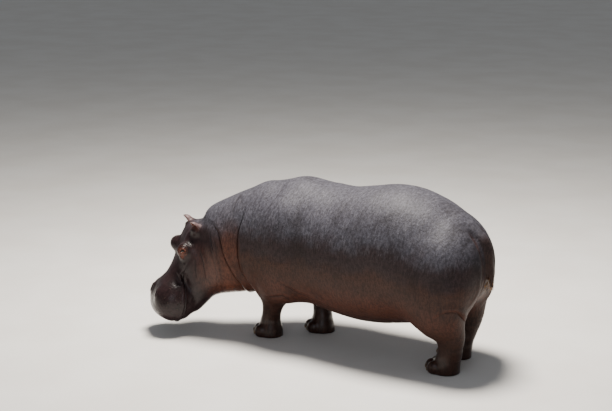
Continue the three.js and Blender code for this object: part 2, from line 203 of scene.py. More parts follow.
trunk = {
    "barrel": topAndBottom([
        (-780, 1240, 500, 290),
        (-690, 1300, 400, 385),
        (-570, 1326, 340, 440),
        (-400, 1328, 302, 470),
        (-200, 1322, 272, 492),
        (0, 1352, 254, 505),
        (200, 1386, 264, 506),
        (400, 1380, 300, 490),
        (580, 1306, 352, 446),
        (700, 1220, 410, 390),
        (790, 1120, 500, 300),
    ]),
    "masses": [  # centre, radii, blend
        ((520, 0, 840), (546, 446, 462), 120),
        ((-660, 0, 818), (350, 415, 494), 120),
        ((-850, 0, 640), (230, 290, 290), 200),
    ],
    "squareness": 2.15,
    "endBlend": 180,
}
trunkForms = [(loftForm(trunk["barrel"], trunk["squareness"], (0, 1, 2), trunk["endBlend"]), 1)]
trunkForms += [(ballForm(centre, radii), blend) for centre, radii, blend in trunk["masses"]]

neck = {
    "stations": [  # along, centre y and z, half width and height
        (-150, 0, -8, 390, 460),
        (80, 0, -12, 370, 468),
        (235, 0, -5, 350, 470),
        (390, 0, -34, 325, 442),
        (500, 0, -54, 303, 420),
        (700, 0, -103, 262, 383),
        (790, 0, -118, 226, 340),
        (850, 0, -128, 160, 240),
    ],
    "squareness": 2.1,
    "endBlend": 160,
    "blend": 110,
}
neckForm = loftForm(neck["stations"], neck["squareness"], (0, 1, 2), neck["endBlend"])

head = {
    "upper": topAndBottom([
        (-330, -85, -330, 150),
        (-270, -38, -335, 172),
        (-210, 0, -340, 180),
        (-145, 20, -340, 184),
        (-40, 14, -320, 176),
        (60, -6, -290, 146),
        (170, -14, -250, 122),
        (280, -12, -235, 132),
        (380, 0, -240, 168),
        (450, 2, -250, 190),
    ]),
    "jaw": topAndBottom([
        (-60, -180, -450, 175),
        (60, -160, -476, 205),
        (180, -150, -468, 203),
        (260, -150, -450, 190),
        (340, -150, -426, 180),
        (420, -160, -396, 175),
        (490, -180, -362, 160),
    ]),
    "masses": [  # centre, radii, squareness, blend
        ((20, 130, -250), (190, 105, 195), 2, 110),
        ((434, 0, -147), (178, 212, 148), 2.5, 60),
        ((440, 124, -174), (138, 94, 120), 2, 60),
        ((426, 98, -46), (78, 50, 52), 2, 45),
        ((470, 0, -268), (116, 166, 74), 2, 40),
        ((6, 134, -20), (62, 48, 58), 2, 50),
        ((8, 138, -8), (56, 47, 54), 2.2, 26),
        ((-190, 124, -24), (46, 42, 40), 2, 50),
    ],
    "upperSquareness": 2.3,
    "upperEndBlend": 150,
    "jawSquareness": 2.6,
    "jawEndBlend": 110,
    "blend": 60,
}
headForms = [
    (loftForm(head["upper"], head["upperSquareness"], (0, 1, 2), head["upperEndBlend"]), 1),
    (loftForm(head["jaw"], head["jawSquareness"], (0, 1, 2), head["jawEndBlend"]), head["blend"]),
]
headForms += [(ballForm(centre, radii, square), blend) for centre, radii, square, blend in head["masses"]]

# An eye looks outwards and a little up; its lids are a ball round it with a slit.
eye = {
    "centre": (14, 160, 5),
    "radius": 25,
    "cornea": 1.2,  # how far it bulges
    "gaze": (0.0, 0.94, 0.34),
    "slit": (0.48, -0.3, 0.82),
    "lidRadius": 29,
    "lidBlend": 9,
    "halfWidth": 43,  # degrees of the slit, seen from the middle of the eye
    "upperLid": 33,
    "lowerLid": 25,
    "lidFolds": [(1.5, 2.6, 2.2), (-1.7, 6.5, 1.9), (0.9, 9.5, 2.4), (-1.5, 13, 2.2)],  # rise, place, width
    "rings": [(36, 4.5, 5), (54, 5.5, 7)],  # folds round the eye: distance, depth, width
}
lidForm = ballForm(eye["centre"], [eye["lidRadius"]] * 3)
upFromEye = np.cross(eye["slit"], eye["gaze"])
eyeRows = np.array([unit(eye["gaze"]), unit(eye["slit"]), unit(upFromEye)])

# An ear is a leaf on a stalk, curled round a hollow that faces forwards and outwards.
ear = {
    "root": (-204, 126, -18),
    "axis": (-0.38, 0.26, 0.88),
    "face": (0.906, 0.257, 0.278),
    "rise": 36,
    "leaf": [  # along, middle of the face and width, half depth, half width
        (-54, 0, 0, 25, 24),
        (-30, 0, 0, 28, 34),
        (-6, 0, 0, 28, 39),
        (15, 1, 0, 23, 34),
        (33, 4, 0, 14, 20),
        (48, 8, 0, 4, 4),
    ],
    "blend": 16,
    "rim": 3.5,
    "cup": 0.85,
}
earAxis = unit(ear["axis"])
earFace = unit(np.array(ear["face"]) - earAxis * (np.array(ear["face"]) @ earAxis))
earRows = np.array([earAxis, earFace, np.cross(earAxis, earFace)])  # along, out of the hollow, across
earMiddle = np.array(ear["root"]) + earAxis * ear["rise"]
earLoft = loftForm(ear["leaf"], 2.0)


def leftward(headPoints):  # folds the right side onto the left one
    return np.stack([headPoints[:, 0], np.abs(headPoints[:, 1]), headPoints[:, 2]], 1)


def toEar(headPoints):
    return (leftward(headPoints) - earMiddle) @ earRows.T


earForm = (lambda points: earLoft[0](toEar(points)), np.array([-320, -220, -60]), np.array([-150, 220, 120]))

legs = {
    "foreColumn": [
        (0, 10, 0, 118, 104),
        (60, 6, 0, 112, 100),
        (130, -2, 0, 88, 84),
        (210, -6, 2, 80, 78),
        (300, -14, 10, 98, 90),
        (400, -40, 30, 130, 108),
        (540, -70, 60, 165, 120),
        (700, -80, 80, 180, 120),
    ],
    "hindColumn": [
        (0, -4, 0, 124, 108),
        (60, -14, 0, 118, 104),
        (130, -42, 2, 104, 92),
        (220, -66, 4, 102, 90),
        (300, -64, 12, 126, 104),
        (370, -42, 22, 156, 116),
        (520, -20, 36, 165, 125),
        (680, -10, 50, 190, 130),
    ],
    "foreMasses": [((190, 110, 765), (240, 190, 410), 150)],
    "hindMasses": [((15, -20, 790), (250, 190, 340), 110), ((-30, 110, 660), (250, 170, 360), 150)],
    "toes": [(42, -88), (92, -34), (92, 34), (42, 88)],
    "toeRadii": (52, 37, 56),
    "toeHeight": 44,
    "toeBlend": 18,
    "ankle": 150,
    "leanHeight": 700,
    "squareness": 2.1,
    "blend": 70,
    "soleRound": 9,
}
legPlaces = [  # kind, side (-1 is the left), foot, lean, yaw
    ("fore", -1, (-868, -186), (150, -60), 4),
    ("fore", 1, (-572, 158), (-110, 70), -4),
    ("hind", -1, (795, -190), (-10, -50), 6),
    ("hind", 1, (690, 196), (30, 50), -6),
]


def footPoint(place, x, y):  # forward and outward from the middle of the foot
    kind, side, foot, lean, yaw = place
    turn = math.radians(-yaw * side)
    dx, dy = -(x - foot[0]), (y - foot[1]) * side
    return dx * math.cos(turn) - dy * math.sin(turn), dx * math.sin(turn) + dy * math.cos(turn)


def legForm(place):
    kind, side, foot, lean, yaw = place
    column = loftForm(legs[kind + "Column"], legs["squareness"])[0]
    toeForms = [ballForm((f, o, legs["toeHeight"]), legs["toeRadii"], 2, False)[0] for f, o in legs["toes"]]

    def distance(points):
        x, y, z = points.T
        share = np.maximum(z - legs["ankle"], 0) / (legs["leanHeight"] - legs["ankle"])
        forward, outward = footPoint(place, x - lean[0] * share, y - lean[1] * share)
        result = column(np.stack([z, forward, outward], 1))
        low = np.flatnonzero(z < 260)
        forward, outward = footPoint(place, x[low], y[low])
        local = np.stack([forward, outward, z[low]], 1)
        for toe in toeForms:
            result[low] = smoothMin(result[low], toe(local), legs["toeBlend"])
        return result

    reach = 330
    lowCorner = np.array([foot[0] - reach, foot[1] - reach, -20])
    highCorner = np.array([foot[0] + reach, foot[1] + reach, legs["leanHeight"]])
    return distance, lowCorner, highCorner


def massForm(place, mass):
    kind, side, foot, lean, yaw = place
    (back, outward, height), radii, blend = mass
    centre = (foot[0] + back, foot[1] + side * outward, height)
    return ballForm(centre, radii, 2, False), blend


legForms = [(legForm(place), legs["blend"]) for place in legPlaces]
massForms = [massForm(place, mass) for place in legPlaces for mass in legs[place[0] + "Masses"]]

tail = {
    "stations": [  # height, x, y, half depth, half width
        (690, 1096, 0, 11, 12),
        (760, 1086, 0, 24, 30),
        (840, 1066, 0, 36, 43),
        (930, 1046, 0, 48, 52),
        (1040, 1000, 0, 58, 58),
        (1120, 925, 0, 64, 60),
        (1180, 850, 0, 60, 60),
    ],
    "blend": 14,
}
tailForm = loftForm(tail["stations"], 2.0, (2, 0, 1))


def skinField(points, withLids=True):
    field = np.full(len(points), 1e5)
    for form, blend in trunkForms:
        joinForm(field, points, form, blend)
    neckPoints = toNeck(points)
    joinForm(field, neckPoints, neckForm, neck["blend"])
    for form, blend in massForms + legForms:
        joinForm(field, points, form, blend)
    headPoints = toHead(points)
    near = np.flatnonzero(np.all((headPoints > [-460, -420, -640]) & (headPoints < [720, 420, 220]), axis=1))
    if len(near):
        local = headPoints[near]
        headField = np.full(len(near), 1e5)
        for form, blend in headForms:
            joinForm(headField, local, form, blend)
        if withLids:
            joinForm(headField, local, lidForm, eye["lidBlend"])
        joinForm(headField, local, earForm, ear["blend"])
        field[near] = smoothMin(field[near], headField, head["blend"])
    joinForm(field, points, tailForm, tail["blend"])
    return -smoothMin(-field, points[:, 2], legs["soleRound"])  # the soles are flat at the floor


# Folds of the skin: each line is settled onto the skin, and the side that "over" points to
# lies over the other with a lip, above a groove. The sizes are in millimetres.
def fromNeck(line):
    return np.array(line, float) @ neckRows + np.array(pose["neckRoot"])


def bothSides(line):  # carries a line that ends under the throat on to the other side
    line = np.array(line, float)
    return np.concatenate([line, line[-2::-1] * [1, -1, 1]])


neckBack, headBack, above, toLeft, toRight = -neckRows[0], -headRows[0], (0, 0, 1), (0, -1, 0), (0, 1, 0)
folds = {
    "shoulder": {
        "line": fromNeck(bothSides([
            (354, 182, 356), (388, 217, 306), (408, 251, 249), (425, 278, 186), (452, 302, 83),
            (464, 310, -20), (463, 306, -130), (453, 289, -226), (409, 255, -320),
            (368, 205, -392), (345, 110, -452), (340, 0, -472),
        ])),
        "over": neckBack,
        "depth": 27, "width": 15, "lip": 15, "lipWidth": 60, "drop": 8, "fade": 0.15,
    },
    "throat": {
        "line": fromNeck(bothSides([
            (690, 190, 200), (671, 219, 142), (634, 249, 98), (610, 277, 5), (596, 285, -65),
            (572, 285, -145), (546, 275, -208), (515, 250, -290), (483, 215, -353),
            (455, 120, -430), (448, 0, -456),
        ])),
        "over": neckBack,
        "depth": 17, "width": 11, "lip": 9, "lipWidth": 38, "drop": 5, "fade": 0.14,
    },
    "napeLeft": {
        "line": fromNeck([
            (712, 215, 110), (706, 235, 70), (697, 250, 20), (686, 262, -30), (672, 268, -80),
        ]),
        "over": neckBack,
        "depth": 11, "width": 9, "lip": 5, "lipWidth": 22, "drop": 2, "fade": 0.4,
    },
    "napeRight": {
        "line": fromNeck([
            (712, -215, 110), (706, -235, 70), (697, -250, 20), (686, -262, -30), (672, -268, -80),
        ]),
        "over": neckBack,
        "depth": 9, "width": 9, "lip": 4, "lipWidth": 22, "drop": 2, "fade": 0.4,
    },
    "hock": {
        "line": [
            (790, -440, 440), (847, -445, 505), (895, -438, 544), (955, -408, 566),
            (988, -374, 559), (1004, -339, 537), (1006, -269, 479), (985, -180, 420),
        ],
        "fadeIn": 0.75,
        "over": above,
        "depth": 10, "width": 10, "lip": 10, "lipWidth": 42, "drop": 8, "fade": 0.35,
    },
    "hockFar": {
        "line": [
            (705, 452, 440), (760, 455, 505), (815, 446, 544), (870, 420, 566), (905, 384, 555),
            (921, 345, 525), (915, 270, 470), (890, 190, 420),
        ],
        "fadeIn": 0.75,
        "over": above,
        "depth": 9, "width": 10, "lip": 9, "lipWidth": 42, "drop": 8, "fade": 0.35,
    },
    "cheekBack": {
        "line": fromHead([
            (-80, 222, -80), (-51, 231, -110), (10, 250, -167), (100, 250, -237), (150, 236, -270),
        ]),
        "over": headBack,
        "depth": 7, "width": 10, "lip": 6, "lipWidth": 26, "drop": 3, "fade": 0.3,
    },
    "cheekFront": {
        "line": fromHead([
            (20, 205, -92), (45, 214, -119), (92, 218, -150), (138, 217, -184), (180, 212, -220),
        ]),
        "over": headBack,
        "depth": 6, "width": 9, "lip": 5, "lipWidth": 22, "drop": 2, "fade": 0.35,
    },
    "flank": {
        "line": [
            (-640, -480, 620), (-572, -467, 576), (-440, -374, 474), (-260, -352, 423),
            (-87, -323, 369), (-1, -278, 331),
        ],
        "over": above,
        "depth": 8, "width": 16, "lip": 7, "lipWidth": 60, "drop": 3, "fade": 0.35,
    },
    "buttock": {
        "line": [
            (1085, -148, 850), (1080, -146, 790), (1068, -140, 720), (1062, -150, 650),
            (1050, -200, 590), (1030, -260, 530),
        ],
        "over": toLeft,
        "depth": 8, "width": 12, "lip": 7, "lipWidth": 40, "drop": 6, "fade": 0.3,
    },
    "buttockFar": {
        "line": [
            (1080, 132, 850), (1072, 130, 790), (1058, 126, 720), (1050, 140, 650),
            (1020, 190, 590), (980, 250, 530),
        ],
        "over": toRight,
        "depth": 8, "width": 12, "lip": 7, "lipWidth": 40, "drop": 6, "fade": 0.3,
    },
    "armpit": {
        "line": [
            (-790, -385, 400), (-718, -401, 414), (-640, -413, 435), (-585, -407, 441),
            (-560, -375, 415), (-552, -330, 370),
        ],
        "over": above,
        "depth": 7, "width": 13, "lip": 6, "lipWidth": 40, "drop": 3, "fade": 0.25,
    },
    "armpitFar": {
        "line": [
            (-480, 372, 400), (-410, 388, 420), (-350, 394, 436), (-300, 385, 436),
            (-275, 350, 412), (-268, 305, 370),
        ],
        "over": above,
        "depth": 7, "width": 13, "lip": 6, "lipWidth": 40, "drop": 3, "fade": 0.25,
    },
}


def densified(line, spacing=8.0):
    line = np.array(line, float)
    along = np.concatenate([[0], np.cumsum(np.linalg.norm(np.diff(line, axis=0), axis=1))])
    _, values = denseStations(np.column_stack([along, line]), int(along[-1] / spacing) + 2)
    return values


# Surface of the field: a coarse grid finds where it runs, a fine one makes a vertex in each crossed cell.
grid = {"low": (-1890, -800, -30), "high": (1150, 545, 1420), "fine": 13.0, "step": 4}


def surfaceOf(field):
    fine, step = grid["fine"], grid["step"]
    coarse = fine * step
    low = np.array(grid["low"], float)
    counts = np.ceil((np.array(grid["high"]) - low) / coarse).astype(int)
    middles = [low[k] + (np.arange(counts[k]) + 0.5) * coarse for k in range(3)]
    centres = np.stack(np.meshgrid(*middles, indexing="ij"), -1).reshape(-1, 3)
    rough = field(centres).reshape(counts)
    values = np.repeat(np.repeat(np.repeat(np.sign(rough) * coarse, step, 0), step, 1), step, 2)
    active = np.argwhere(np.abs(rough) < coarse * 1.5)
    inner = np.stack(np.meshgrid(*[np.arange(step)] * 3, indexing="ij"), -1).reshape(-1, 3)
    places = (active[:, None, :] * step + inner[None]).reshape(-1, 3)
    spots = low + (places + 0.5) * fine
    values[tuple(places.T)] = field(spots)
    inside = values < 0
    counts = np.array(values.shape)
    offsets = np.array([[c & 1, c >> 1 & 1, c >> 2] for c in range(8)])
    shifted = [tuple(slice(k, n - 1 + k) for k, n in zip(o, counts)) for o in offsets]
    total = sum(inside[cut].astype(np.int8) for cut in shifted)
    cells = np.argwhere((total > 0) & (total < 8))
    corner = [values[tuple((cells + o).T)] for o in offsets]
    vertices, crossings = np.zeros((len(cells), 3)), np.zeros(len(cells))
    for c in range(8):
        for axis in range(3):
            d = c | 1 << axis
            if d == c:
                continue
            a, b = corner[c], corner[d]
            crossed = (a < 0) != (b < 0)
            t = np.where(crossed, a / np.where(crossed, a - b, 1), 0)
            spot = np.repeat(offsets[c][None].astype(float), len(cells), 0)
            spot[:, axis] += t
            vertices += spot * crossed[:, None]
            crossings += crossed
    vertices = low + (cells + 0.5 + vertices / crossings[:, None]) * fine
    number = np.full(counts - 1, -1, np.int32)
    number[tuple(cells.T)] = np.arange(len(cells))
    quads = []
    for axis in range(3):
        u, v = (axis + 1) % 3, (axis + 2) % 3
        first = [slice(None)] * 3
        second = [slice(None)] * 3
        first[axis], second[axis] = slice(0, -1), slice(1, None)
        here, ahead = inside[tuple(first)], inside[tuple(second)]
        spots = np.argwhere(here != ahead)
        starts = here[tuple(spots.T)]
        du, dv = np.eye(3, dtype=int)[u], np.eye(3, dtype=int)[v]
        ring = np.stack([number[tuple((spots - s).T)] for s in (du + dv, dv, 0 * du, du)], 1)
        ring[~starts] = ring[~starts][:, ::-1]
        quads.append(ring)
    quads = np.concatenate(quads)
    a, b, c, d = (vertices[quads[:, k]] for k in range(4))
    across = np.linalg.norm(a - c, axis=1) > np.linalg.norm(b - d, axis=1)
    quads[across] = np.roll(quads[across], 1, axis=1)
    triangles = np.concatenate([quads[:, [0, 1, 2]], quads[:, [0, 2, 3]]])
    return vertices, triangles


def slopeOf(field, points, value, nudge=0.5):
    return np.stack([(field(points + nudge * np.eye(3)[k]) - value) / nudge for k in range(3)], 1)


def settle(field, points, rounds=1, reach=12):
    for _ in range(rounds):
        value = field(points)
        slope = slopeOf(field, points, value)
        step = slope * (value / np.maximum((slope**2).sum(1), 1e-6))[:, None]
        length = np.linalg.norm(step, axis=1, keepdims=True)
        points = points - step * np.minimum(1, reach / np.maximum(length, 1e-9))
    return points


def normalsOf(points, triangles):
    a, b, c = (points[triangles[:, k]] for k in range(3))
    face = np.cross(b - a, c - a)
    total = np.zeros_like(points)
    for k in range(3):
        for m in range(3):
            total[:, m] += np.bincount(triangles[:, k], face[:, m], len(points))
    return total / np.maximum(np.linalg.norm(total, axis=1, keepdims=True), 1e-12)


def edgesOf(triangles):
    pairs = np.concatenate([triangles[:, [0, 1]], triangles[:, [1, 2]], triangles[:, [2, 0]]])
    key = np.sort(pairs, 1)
    code = key[:, 0].astype(np.int64) * 4000000 + key[:, 1]
    codes, inverse = np.unique(code, return_inverse=True)
    return np.stack([codes // 4000000, codes % 4000000], 1), inverse.reshape(3, -1).T


def averaged(values, edges, count):  # mean of each vertex's neighbours
    total = np.zeros((count, values.shape[1]))
    a, b = edges.T
    for m in range(values.shape[1]):
        total[:, m] = np.bincount(a, values[b, m], count) + np.bincount(b, values[a, m], count)
    degree = np.bincount(a, minlength=count) + np.bincount(b, minlength=count)
    return total / np.maximum(degree, 1)[:, None]


def relaxed(points, triangles, rounds, share=0.5):  # evens out the facets within the surface
    edges, _ = edgesOf(triangles)
    for _ in range(rounds):
        normal = normalsOf(points, triangles)
        move = averaged(points, edges, len(points)) - points
        move -= normal * (move * normal).sum(1, keepdims=True)
        points = points + move * share
    return points


def refined(points, triangles, target):  # splits each edge that is longer than the target length there
    edges, triangleEdges = edgesOf(triangles)
    a, b = points[edges[:, 0]], points[edges[:, 1]]
    length = np.linalg.norm(a - b, axis=1)
    marked = length > 1.4 * target((a + b) / 2)
    longest = triangleEdges[np.arange(len(triangles)), np.argmax(length[triangleEdges], 1)]
    for _ in range(4):
        some = marked[triangleEdges].any(1)
        marked[longest[some]] = True
    number = np.full(len(edges), -1)
    number[marked] = len(points) + np.arange(marked.sum())
    points = np.concatenate([points, (a[marked] + b[marked]) / 2])
    flags = marked[triangleEdges]
    count = flags.sum(1)
    parts = [triangles[count == 0]]
    for shift in range(3):  # turns each triangle so that its marked edges come first
        t, e = np.roll(triangles, -shift, 1), np.roll(triangleEdges, -shift, 1)
        f = marked[e]
        mid = number[e]
        one = (count == 1) & f[:, 0]
        parts += [
            np.stack([t[one, 0], mid[one, 0], t[one, 2]], 1),
            np.stack([mid[one, 0], t[one, 1], t[one, 2]], 1),
        ]
        two = (count == 2) & f[:, 0] & f[:, 1]
        p, q = mid[two, 0], mid[two, 1]
        first, second, third = t[two].T
        acrossP = np.linalg.norm(points[p] - points[third], axis=1)
        acrossQ = np.linalg.norm(points[q] - points[first], axis=1)
        shorter = (acrossP < acrossQ)[:, None]
        parts += [
            np.stack([p, second, q], 1),
            np.where(shorter, np.stack([p, q, third], 1), np.stack([p, q, first], 1)),
            np.where(shorter, np.stack([first, p, third], 1), np.stack([first, q, third], 1)),
        ]
    t, mid = triangles[count == 3], number[triangleEdges[count == 3]]
    parts += [np.stack([t[:, 0], mid[:, 0], mid[:, 2]], 1), np.stack([mid[:, 0], t[:, 1], mid[:, 1]], 1)]
    parts += [np.stack([mid[:, 2], mid[:, 1], t[:, 2]], 1), mid]
    return points, np.concatenate(parts)


# Facet sizes in millimetres: finest round the eyes, ears, nostrils and lips.
facets = {
    "body": 14,
    "neck": 9,
    "leg": 9,
    "toes": 5,
    "tail": 6,
    "head": 5,
    "ear": 3,
    "nostril": 2.6,
    "eye": 2.0,
    "lips": 3.4,
    "fold": 5,
}


def edgeTarget(points):
    size = np.full(len(points), float(facets["body"]))

    def finer(near, value):
        size[near] = np.minimum(size[near], value)

    x, y, z = points.T
    finer((x < -650) & (z > 250), facets["neck"])
    finer(z < 330, facets["leg"])
    finer(z < 130, facets["toes"])
    finer((x > 830) & (z > 640) & (np.abs(y) < 120), facets["tail"])
    local = toHead(points)
    a, l, u = local[:, 0], np.abs(local[:, 1]), local[:, 2]
    headOnly = (a > -380) & (a < 700) & (l < 300) & (u > -560) & (u < 180)
    finer(headOnly, facets["head"])
    finer(headOnly & (np.abs(u - mouthLine(a)) < 30) & (a > 140), facets["lips"])
    finer(headOnly & (np.linalg.norm(np.stack([a, l, u], 1) - eye["centre"], axis=1) < 62), facets["eye"])
    finer(headOnly & (np.hypot(a - 428, l - 104) < 50) & (u > -40), facets["nostril"])
    finer(headOnly & (a < -140) & (u > -10) & (l > 90), facets["ear"])
    for fold in folds.values():
        near, _ = nearestOn(fold["dense"], points, 30)
        finer(near, facets["fold"])
    return size


# Finds which points lie within reach of a line, and the nearest of the line's own points to each.
def nearestOn(dense, points, reach):
    boxed = np.flatnonzero(np.all((points > dense.min(0) - reach) & (points < dense.max(0) + reach), axis=1))
    nearest = np.zeros(len(boxed), int)
    best = np.full(len(boxed), 1e12)
    for i, spot in enumerate(dense):
        d = ((points[boxed] - spot) ** 2).sum(1)
        closer = d < best
        best[closer], nearest[closer] = d[closer], i
    kept = best < reach**2
    return boxed[kept], nearest[kept]


mouthAt = np.array([  # along the head and out of the forehead, from the corner to the front
    (100, -92), (136, -96), (202, -92), (261, -150), (360, -205),
    (431, -238), (508, -261), (560, -279), (700, -300),
], float)


def mouthLine(a):
    return np.interp(a, mouthAt[:, 0], mouthAt[:, 1])


for fold in folds.values():
    dense = settle(skinField, densified(fold["line"]), 8, 25)
    fold["dense"] = dense
    fold["normal"] = slopeOf(skinField, dense, skinField(dense))
    fold["normal"] /= np.linalg.norm(fold["normal"], axis=1, keepdims=True)


def softZone(points):  # 1 where the body is smoothed as one form, 0 on the head, tail and feet
    local = toHead(points)
    x, y, z = points.T
    behindHead = smoothStep(-180, -330, local[:, 0] - 0.35 * local[:, 2] - 60)
    besideTail = np.clip(smoothStep(90, 190, np.abs(y)) + smoothStep(820, 700, x), 0, 1)
    return behindHead * besideTail * smoothStep(200, 330, z)


def smoothed(points, triangles, rounds, weight):  # rounds off creases and keeps the volume
    edges, _ = edgesOf(triangles)
    for _ in range(rounds):
        for share in (0.5, -0.52):
            points = points + (averaged(points, edges, len(points)) - points) * (weight * share)[:, None]
    return points


shaping = {"evening": 3, "rounding": 60, "refinements": 4}
points, triangles = surfaceOf(lambda p: skinField(p, False))  # the lids are too thin for the first grid
report(f"first surface: {len(triangles)} triangles")
points = settle(skinField, relaxed(points, triangles, shaping["evening"]), 2)
points = smoothed(points, triangles, shaping["rounding"], softZone(points))
for level in range(shaping["refinements"]):
    points, triangles = refined(points, triangles, edgeTarget)
    weight = softZone(points)
    even = relaxed(points, triangles, shaping["evening"])
    soft = smoothed(even, triangles, 2, weight)
    hard = weight < 0.999
    even[hard] = settle(skinField, even[hard], 1)
    points = even + (soft - even) * weight[:, None]
    report(f"surface refined {level + 1} times: {len(triangles)} triangles")


def foldShift(points, normals, fold):  # how a fold moves the skin, and how much painted shade its crease gets
    reach = 3 * fold["lipWidth"]
    near, nearest = nearestOn(fold["dense"], points, reach)
    dense, over = fold["dense"], np.array(fold["over"], float)
    tangent = np.gradient(dense, axis=0)
    tangent /= np.linalg.norm(tangent, axis=1, keepdims=True)
    side = over - tangent * (tangent @ over)[:, None]
    side -= fold["normal"] * (side * fold["normal"]).sum(1, keepdims=True)
    side /= np.linalg.norm(side, axis=1, keepdims=True)
    gap = points[near] - dense[nearest]
    s = (gap * side[nearest]).sum(1)
    s = np.sign(s) * np.sqrt(np.maximum((gap**2).sum(1) - (gap * tangent[nearest]).sum(1) ** 2, 0))
    t = nearest / (len(dense) - 1)
    fade = smoothStep(0, fold.get("fadeIn", fold["fade"]), t) * smoothStep(1, 1 - fold["fade"], t)
    fade *= (normals[near] * fold["normal"][nearest]).sum(1) > 0.2
    narrow, wide = bell(s, fold["width"] * 0.6), bell(s, fold["width"] * 1.7)
    groove = fold["depth"] * np.where(s > 0, narrow, wide * 0.5 + narrow * 0.5)
    lip = fold["lip"] * bell(s - fold["lipWidth"] * 0.62, fold["lipWidth"] * 0.6)
    drop = fold["drop"] * np.where(s < 0, bell(s, 1.3 * fold["lipWidth"]), bell(s, 0.35 * fold["lipWidth"]))
    out = (lip - groove - drop) * fade
    overlap = fold["lip"] * 0.9 * bell(s - fold["width"] * 0.5, fold["width"] * 0.8) * fade
    move = normals[near] * out[:, None] - side[nearest] * overlap[:, None]
    return near, move, bell(s, fold["width"] * 0.9) * fade


def valueNoise(points, sizes, seed=0):  # smooth random values from -1 to 1, sizes in mm from one to the next
    place = points / np.array(sizes, float)
    cell = np.floor(place).astype(np.int64)
    part = place - cell
    part = part * part * (3 - 2 * part)
    total = np.zeros(len(points))
    for corner in np.ndindex(2, 2, 2):
        c = cell + np.array(corner)
        code = c[:, 0] * 73856093 ^ c[:, 1] * 19349663 ^ c[:, 2] * 83492791 ^ (seed + 1) * 2654435761
        code &= 0xFFFFFFFF
        for places, factor in ((15, 2246822519), (13, 3266489917)):  # scrambles the cell's number
            code = ((code ^ (code >> places)) * factor) & 0xFFFFFFFF
        value = ((code ^ (code >> 16)) & 0xFFFF) / 32767.5 - 1
        total += value * np.prod(np.where(np.array(corner) == 1, part, 1 - part), axis=1)
    return total


# Wrinkles: shallow grooves along the zero lines of stretched noise, so that they wander and fork.
wrinkles = {
    "swells": [(3.0, 260), (2.0, 120)],  # height and size of two soft unevennesses
    "neck": {"sizes": (58, 300, 300), "depth": 3.6, "width": 0.2},
    "trunk": {"sizes": (85, 330, 330), "depth": 1.8, "width": 0.2},
    "leg": {"sizes": (230, 230, 44), "depth": 3.4, "width": 0.2},
    "cheek": {"sizes": (230, 36, 260), "depth": 3.6, "width": 0.22},
    "snout": {"sizes": (55, 70, 60), "depth": 0.8, "width": 0.16},
}


def grooves(points, kind, seed):
    band = wrinkles[kind]
    return bell(valueNoise(points, band["sizes"], seed), band["width"]), band["depth"]


def wrinkleShift(points):  # inward shift in mm, and how much painted shade the groove gets
    x, y, z = points.T
    neckPart, headPart = toNeck(points), toHead(points)
    a, l, u = headPart[:, 0], np.abs(headPart[:, 1]), headPart[:, 2]
    headZone = smoothStep(-340, -200, a) * (neckPart[:, 0] > 600)
    swells = enumerate(wrinkles["swells"], 1)
    shiftIn = sum(height * valueNoise(points, (size,) * 3, seed) for seed, (height, size) in swells)
    shiftIn *= 1 - 0.7 * headZone
    dark = np.zeros(len(points))
    cheekPart = np.stack([0.76 * a - 0.64 * u, 0.64 * a + 0.76 * u, l], 1)  # turned along its wrinkles
    cheekZone = headZone * smoothStep(70, 130, l) * smoothStep(230, 150, a) * smoothStep(-30, -90, u)
    zones = [
        ("neck", neckPart, (1 - headZone) * smoothStep(330, 430, neckPart[:, 0])),
        ("trunk", points, smoothStep(-800, -650, x) * smoothStep(350, 480, z)),
        ("leg", points, smoothStep(440, 330, z) * smoothStep(70, 120, z) * (x > -1050)),
        ("cheek", cheekPart, cheekZone),
        ("snout", headPart, headZone * smoothStep(60, 140, a)),
    ]
    for number, (kind, place, zone) in enumerate(zones):
        line, depth = grooves(place, kind, 10 + number)
        strength = zone * smoothStep(-0.5, 0.5, valueNoise(points, (190, 190, 190), 30 + number))
        shiftIn += line * depth * strength
        dark = np.maximum(dark, 0.55 * line * strength)
    return shiftIn, dark


# Painted shade: each fold's crease and each wrinkle's groove gets a dark share, and the head's hollows add
# theirs below.
crease = np.zeros(len(points))
normals = normalsOf(points, triangles)
for fold in folds.values():
    near, move, dark = foldShift(points, normals, fold)
    points[near] += move
    crease[near] = np.maximum(crease[near], dark)
inward, dark = wrinkleShift(points)
inward *= smoothStep(10, 60, points[:, 2])
points -= normals * inward[:, None]
crease = np.maximum(crease, dark)
report("folds and wrinkles made")

# Rump: the tail lies in a shallow recess between the buttocks, with a cleft below it.
rump = {
    "tailRise": 10,
    "tailWidth": 52,
    "recess": 18,
    "recessAt": 98,
    "recessWidth": 30,
    "edge": 8,
    "edgeAt": 152,
    "edgeWidth": 34,
    "cleft": 26,
    "cleftAt": -15,
    "cleftWidth": 48,
}
x, y, z = points.T
rearPart = (x > 840) * smoothStep(1150, 1080, z) * smoothStep(740, 840, z)
tailPart = (x > 840) * smoothStep(1130, 1040, z) * smoothStep(75, 50, np.abs(y)) * (z > 660)
tailRise = rump["tailRise"] * bell(y, rump["tailWidth"]) * smoothStep(890, 980, z)
recess = rump["recess"] * bell(np.abs(y) - rump["recessAt"], rump["recessWidth"])
recessEdge = rump["edge"] * bell(np.abs(y) - rump["edgeAt"], rump["edgeWidth"])
cleft = rump["cleft"] * bell(y - rump["cleftAt"], rump["cleftWidth"]) * smoothStep(800, 720, z)
cleft *= (x > 800) * (normals[:, 0] > 0.3) * smoothStep(400, 560, z) * (1 - tailPart)
points += normals * (rearPart * (tailRise - recess + recessEdge) - cleft)[:, None]

# The head's own features, worked in its frame with the right side folded onto the left one.
local = toHead(points)
sign = np.where(local[:, 1] < 0, -1.0, 1.0)
local = leftward(local)
onHead = np.all((local > (-420, -1, -600)) & (local < (720, 320, 200)), axis=1)
headNormals = normals @ headRows.T
headNormals[:, 1] *= sign

